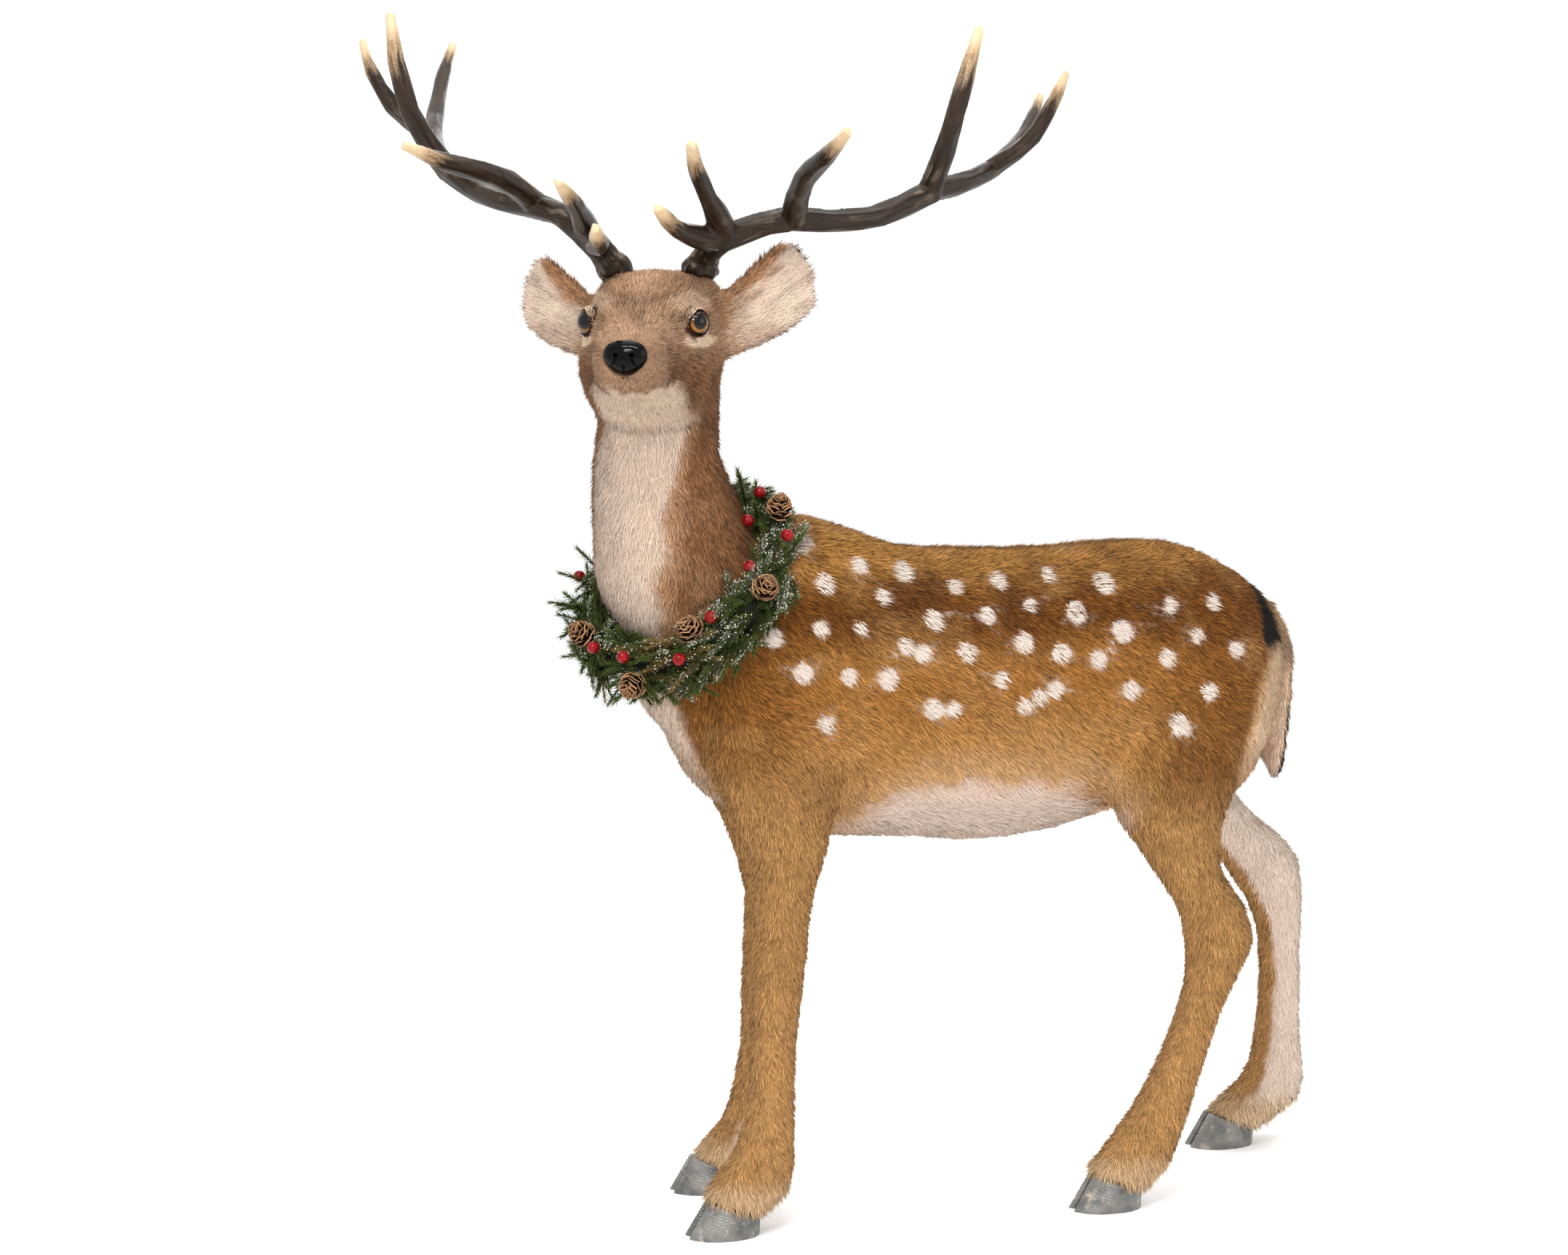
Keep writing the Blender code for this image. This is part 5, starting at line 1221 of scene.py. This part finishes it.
def sprigNeedles(root, way, droop, length, kind, count):
    u = (np.arange(count) + dice.random(count) * 0.6) / count
    stem = root + way * (length * u)[:, None] + droop * (length * u * u)[:, None]
    run = unit(way + 2 * droop * u[:, None])
    turn = np.arange(count) * 2.39996 + dice.random() * 6.28
    side = unit(np.cross(run, np.array([0.31, 0.55, 0.77])))
    over = np.cross(run, side)
    opened = np.radians(48 - 22 * u + 7 * dice.standard_normal(count))
    out = side * np.cos(turn)[:, None] + over * np.sin(turn)[:, None]
    ways = unit(run * np.cos(opened)[:, None] + out * np.sin(opened)[:, None])
    lengths = firLook["needle"] * (1.05 - 0.35 * u) * (1 + 0.15 * dice.standard_normal(count))
    widths = np.full(count, firLook["width"])
    fresh = np.clip(0.8 * dice.random(count) ** 1.5 + 0.4 * u - 0.1, 0, 1)
    green = mixed(firTone["green"], firTone["light"], fresh)
    tips = mixed(green, firTone["light"], 0.4 * dice.random(count))
    if kind == "frost":
        tips = mixed(tips, firTone["frost"], np.clip(1.2 * dice.random(count) * (0.2 + u) - 0.25, 0, 0.95))
        green = mixed(green, firTone["frost"], 0.10 * dice.random(count))
    if kind == "gold":
        tips = mixed(tips, firTone["gold"], 0.55 + 0.4 * dice.random(count))
        green = mixed(green, firTone["gold"], 0.35 + 0.3 * dice.random(count))
    joints = np.linspace(0, 0.82, 5)
    seats = root + way * (length * joints)[:, None] + droop * (length * joints ** 2)[:, None]
    runs = unit(way + 2 * droop * joints[:, None])
    twig = np.tile(firTone["twig"], (5, 1))
    return [(stem, ways, lengths, widths, green, tips),
            (seats, runs, np.full(5, length * 0.30), np.full(5, firLook["stem"]), twig, twig)]


def glitter(places, colours):  # small bright grains
    count = len(places)
    sizes = np.full(count, firLook["glitter"])
    return places, unit(dice.standard_normal((count, 3))), sizes, sizes, colours, colours


def needleMaterial():
    material, tree, shader = surface("firNeedles", 0.55, Specular_IOR_Level=0.15)
    grain = grained(tree, shader, 300.0, 1200.0, 0.0003)
    shade = mapped(tree, grain, 0.6, 1.4, 0.75, 1.2)
    colour = mixColours(tree, 1.0, attribute(tree, "firColour", "Color"), shade, "MULTIPLY")
    tree.links.new(colour, shader.inputs["Base Color"])
    return material


# Sprigs that stand out of the ring: turn and lean in degrees, way in the stance frame, length.
looseSprigs = [
    (-62, -72, (-0.93, -0.20, 0.10), 0.040), (-58, -20, (-0.80, -0.25, -0.30), 0.036),
    (-20, 10, (-0.40, -0.30, -0.80), 0.032), (12, 8, (0.30, -0.45, -0.80), 0.030),
    (30, 5, (0.55, -0.50, -0.64), 0.036), (-80, -40, (-0.80, 0.00, 0.45), 0.052),
    (-88, -50, (-0.55, 0.10, 0.70), 0.050), (-62, -50, (-0.85, -0.25, 0.35), 0.056),
    (-66, -30, (-0.90, -0.10, 0.30), 0.040), (164, -100, (-0.20, -0.10, 0.95), 0.050),
    (170, -80, (-0.15, 0.10, 0.95), 0.046), (150, -100, (-0.10, -0.20, 0.95), 0.050),
    (140, -120, (-0.25, -0.40, 0.90), 0.044),
]


def makeWreath():
    rows, grains = [], []
    for index in range(firLook["sprigs"]):
        turn = 2 * math.pi * (index + 0.8 * dice.random()) / firLook["sprigs"]
        lean = math.radians(dice.uniform(-165, 90))
        along, out, over = (np.array(axis) for axis in ringAxes(turn))
        radial = out * math.cos(lean) + over * math.sin(lean)
        root = np.array(ringSurface(turn, lean, wreathShape["tube"] * dice.uniform(0.25, 0.75)))
        sign = -1 if dice.random() < 0.6 else 1
        way = along * sign * dice.uniform(0.65, 0.95) + radial * dice.uniform(0.20, 0.55)
        way = unit(way + 0.16 * dice.standard_normal(3))
        droop = -0.12 * radial + np.array([0.0, 0.0, -0.10])
        degrees = (math.degrees(turn) + 180) % 360 - 180
        frosted = dice.random() < (0.44 if 40 < degrees < 175 else 0.16)
        golden = not frosted and dice.random() < (0.35 if 5 < degrees < 45 else 0.05)
        kind = "frost" if frosted else "gold" if golden else "plain"
        length = firLook["sprig"] * dice.uniform(0.72, 1.12)
        rows += sprigNeedles(root, way, droop, length, kind, firLook["needles"])
        if kind != "plain":
            stem, ways, lengths = rows[-2][:3]
            chosen = dice.integers(0, len(stem), 24 if kind == "frost" else 14)
            grains.append((stem + ways * (lengths * dice.uniform(0.4, 1.0, len(stem)))[:, None])[chosen])
    for turn, lean, way, length in looseSprigs:
        root = np.array(ringSurface(math.radians(turn), math.radians(lean), wreathShape["tube"] * 0.6))
        rows += sprigNeedles(root, unit(np.array(way)), np.array([0, 0, -0.12]), length, "plain", 80)
    places = np.concatenate(grains)
    bright = mixed(colourOf(240, 240, 236), colourOf(214, 196, 150), (dice.random(len(places)) < 0.3) * 1.0)
    rows.append(glitter(places, bright))
    fir = needleMaterial()
    for label, some in (("low", rows[0::4] + rows[1::4]), ("high", rows[2::4] + rows[3::4])):
        packed = [np.concatenate([row[k] for row in some]) for k in range(6)]
        points, faces, tints = spikes(*packed)
        mesh = meshFromArrays(f"wreath_sprigs_{label}", points, faces)
        setAttribute(mesh, "firColour", tints)
        addPiece(f"wreath_sprigs_{label}", mesh, fir, "fir")
        print("the wreath has", len(faces), "needle faces", label)

    bm = bmesh.new()
    bmesh.ops.create_circle(bm, segments=10, radius=wreathShape["tube"] * 0.50)
    first = list(bm.verts)
    rings = []
    for step in range(60):  # the wired core that carries the sprigs
        turn = 2 * math.pi * step / 60
        ring = bmesh.ops.duplicate(bm, geom=first + list({e for v in first for e in v.link_edges}))["geom"]
        verts = [g for g in ring if isinstance(g, bmesh.types.BMVert)]
        along, out, over = ringAxes(turn)
        turned = Matrix((out, over, along)).transposed().to_4x4()
        bmesh.ops.transform(bm, matrix=Matrix.Translation(ringPoint(turn)) @ turned, verts=verts)
        rings.append([g for g in ring if isinstance(g, bmesh.types.BMEdge)])
    bmesh.ops.delete(bm, geom=first, context="VERTS")
    for ring, after in zip(rings, rings[1:] + rings[:1]):
        bmesh.ops.bridge_loops(bm, edges=ring + after)
    bmesh.ops.recalc_face_normals(bm, faces=bm.faces)
    core = meshFrom("wreath_core", bm)
    points = pointsOf(core)
    setPoints(core, points + normalsOf(core) * (0.004 * softNoise(points, 0.012, 50))[:, None])
    setAttribute(core, "firColour", np.tile(colourOf(16, 20, 6), (len(points), 1)))
    addPiece("wreath_core", core, fir, "fir", "wreath_ring")


makeWreath()

cones = [(10, -14), (46, -74), (86, -40), (136, -54), (-128, -34), (-100, -84), (-30, -72)]
berries = [(8, -60), (36, -36), (58, -68), (92, -80), (116, -44), (134, -108), (152, -70), (-165, -40), (-150, -10),
           (-108, -50), (-84, -30), (-14, -66)]
coneShape = {"radius": 0.0195, "length": 0.037, "scales": 52, "scaleLength": 0.0150, "scaleWidth": 0.0125,
             "thick": 0.0012}
berryShape = {"radius": 0.0078, "reach": 1.12, "dimple": 0.10}


def coneScale():  # one woody scale, its root at the origin and its tip along x
    bm = bmesh.new()
    bmesh.ops.create_grid(bm, x_segments=3, y_segments=2, size=0.5)
    bmesh.ops.translate(bm, vec=(0.5, 0, 0), verts=bm.verts)
    for vertex in bm.verts:
        x, y = vertex.co.x, vertex.co.y
        vertex.co.y = y * (0.35 + 0.75 * math.sin(min(x, 0.85) * 1.9))
        vertex.co.z = 0.18 * x * x - 0.25 * y * y
        vertex.co.x = x - 0.22 * abs(y) * x
    long, wide = coneShape["scaleLength"], coneShape["scaleWidth"]
    bmesh.ops.scale(bm, vec=(long, wide, long), verts=bm.verts)
    bmesh.ops.recalc_face_normals(bm, faces=bm.faces)
    bmesh.ops.solidify(bm, geom=bm.faces[:], thickness=coneShape["thick"])
    bmesh.ops.triangulate(bm, faces=bm.faces)
    return meshFrom("scale", bm)


def coneMaterial():
    material, tree, shader = surface("pineCone", 0.62, Specular_IOR_Level=0.35)
    grain = grained(tree, shader, 380.0, 1400.0, 0.0006)
    shade = mapped(tree, grain, 0.6, 1.4, 0.7, 1.25)
    # Each scale is darker toward its root and paler at its tip: partly the cone's own colour, partly painted shade in
    # the gaps between the scales.
    reach = mapped(tree, attribute(tree, "reach"), 0.62, 1.10)
    colour = mixColours(tree, reach, paint(40, 23, 10), paint(176, 130, 88))
    tree.links.new(mixColours(tree, 1.0, colour, shade, "MULTIPLY"), shader.inputs["Base Color"])
    return material


def makeCones():
    scale = coneScale()
    base = pointsOf(scale)
    triangles = np.array([polygon.vertices[:] for polygon in scale.polygons])
    wood = coneMaterial()
    for index, (turn, lean) in enumerate(cones):
        turn, lean = math.radians(turn), math.radians(lean)
        seat = np.array(ringSurface(turn, lean, wreathShape["tube"] * 0.80))
        axis = unit(np.array(ringSurface(turn, lean, 1.0)) - np.array(ringPoint(turn)))
        side = np.array(ringAxes(turn)[0])
        over = np.cross(axis, side)
        points, faces, reach = [], [], []
        for k in range(coneShape["scales"]):
            t = (k + 0.5) / coneShape["scales"]
            breadth = np.interp(t, [0, 0.22, 0.6, 1.0], [0.62, 1.0, 0.78, 0.20])
            bearing = 2.39996 * k + 0.15 * dice.standard_normal()
            out = side * math.cos(bearing) + over * math.sin(bearing)
            tilt = math.radians(np.interp(t, [0, 0.5, 1.0], [78, 55, 16]) + 6 * dice.standard_normal())
            way = axis * math.cos(tilt) + out * math.sin(tilt)
            up = axis * math.sin(tilt) - out * math.cos(tilt)
            size = 0.55 + 0.5 * breadth
            root = seat + axis * (coneShape["length"] * (0.06 + 0.72 * t))
            root = root + out * (0.22 * coneShape["radius"] * breadth)
            local = base * size
            faces.append(triangles + len(base) * k)
            points.append(root + local[:, 0:1] * way + local[:, 1:2] * np.cross(up, way) + local[:, 2:3] * up)
            # How far out along its scale each point lies, which sets its colour and the painted shade at the root.
            reach.append(base[:, 0] / coneShape["scaleLength"] * (0.75 + 0.5 * dice.random()))
        mesh = meshFromArrays(f"wreath_pinecone_{index + 1}", np.concatenate(points), np.concatenate(faces), False)
        setAttribute(mesh, "reach", np.clip(np.concatenate(reach), 0, 1.2))
        addPiece(f"wreath_pinecone_{index + 1}", mesh, wood, "pine_cone", f"wreath_cone_{index + 1}")


def makeBerries():
    material, tree, shader = surface("berryRed", 0.10, Specular_IOR_Level=0.22)
    patches = useGroup(tree, blotches, Size=90.0, Low=0.35, High=0.7)
    colour = mixColours(tree, patches.outputs["Mask"], paint(110, 2, 7), paint(142, 4, 12))
    colour = mixColours(tree, attribute(tree, "eye"), colour, paint(60, 20, 16))
    tree.links.new(colour, shader.inputs["Base Color"])
    reach = wreathShape["tube"] * berryShape["reach"] + berryShape["radius"]
    for index, (turn, lean) in enumerate(berries):
        middle = ringSurface(math.radians(turn), math.radians(lean), reach)
        out = (middle - ringPoint(math.radians(turn))).normalized()
        bm = bmesh.new()
        bmesh.ops.create_icosphere(bm, subdivisions=4, radius=berryShape["radius"])
        dimple = []
        for vertex in bm.verts:
            near = vertex.co.normalized().dot(out)
            depth = math.exp(-((1 - near) / 0.02) ** 2) if near > 0.8 else 0.0
            dimple.append(depth)
            vertex.co *= 1 - berryShape["dimple"] * depth
        bmesh.ops.translate(bm, vec=middle, verts=bm.verts)
        mesh = meshFrom(f"wreath_holly_{index + 1}", bm)
        setAttribute(mesh, "eye", dimple)
        addPiece(f"wreath_holly_{index + 1}", mesh, material, "berry", f"wreath_berry_{index + 1}")


makeCones()
makeBerries()
print("the wreath has its cones and berries")


def makeStage():
    bm = bmesh.new()
    bmesh.ops.create_grid(bm, x_segments=1, y_segments=1, size=30.0)
    floor = placed("floor", meshFrom("floor", bm))
    material, tree, shader = surface("paleFloor", 0.9)
    shader.inputs["Base Color"].default_value = (0.94, 0.94, 0.94, 1.0)
    floor.data.materials.append(material)
    world = bpy.data.worlds.new("studio")
    world.use_nodes = True
    world.node_tree.nodes["Background"].inputs["Color"].default_value = (1.0, 1.0, 1.0, 1.0)
    world.node_tree.nodes["Background"].inputs["Strength"].default_value = 1.07
    bpy.context.scene.world = world
    bpy.context.scene.view_settings.view_transform = "Standard"


def softLamp(name, place, aim, size, depth, power):
    lamp = bpy.data.lights.new(name, "AREA")
    lamp.shape, lamp.size, lamp.size_y, lamp.energy = "RECTANGLE", size, depth, power
    holder = placed(name, lamp)
    holder.location = stance + Vector(place)
    holder.rotation_euler = (Vector(aim) - Vector(place)).to_track_quat("-Z", "Y").to_euler()


cameraLook = {"lens": 79.31, "place": (-1.103, -4.229, 1.275), "down": 6.67, "turn": -16}


def makeCamera():
    camera = bpy.data.cameras.new("camera")
    camera.lens, camera.sensor_width = cameraLook["lens"], 36.0
    camera.clip_end = 60.0
    holder = placed("camera", camera)
    holder.location = stance + Vector(cameraLook["place"])
    holder.rotation_euler = (math.radians(90 - cameraLook["down"]), 0.0, math.radians(cameraLook["turn"]))
    bpy.context.scene.camera = holder


makeStage()
softLamp("key", (-1.6, -3.0, 3.0), (0.2, 0, 0.8), 0.9, 0.9, 66)
softLamp("strip", (-0.6, -1.9, 3.8), (0.1, 0, 0.9), 2.2, 0.22, 60)
softLamp("fill", (2.6, -2.4, 1.9), (0.3, 0, 0.7), 2.0, 2.0, 26)
softLamp("top", (0.2, 0.4, 3.6), (0.2, 0, 0.8), 2.2, 2.2, 30)
softLamp("back", (0.6, 3.2, 2.2), (0.2, 0, 0.8), 2.0, 2.0, 30)
makeCamera()
print("the stage is lit")
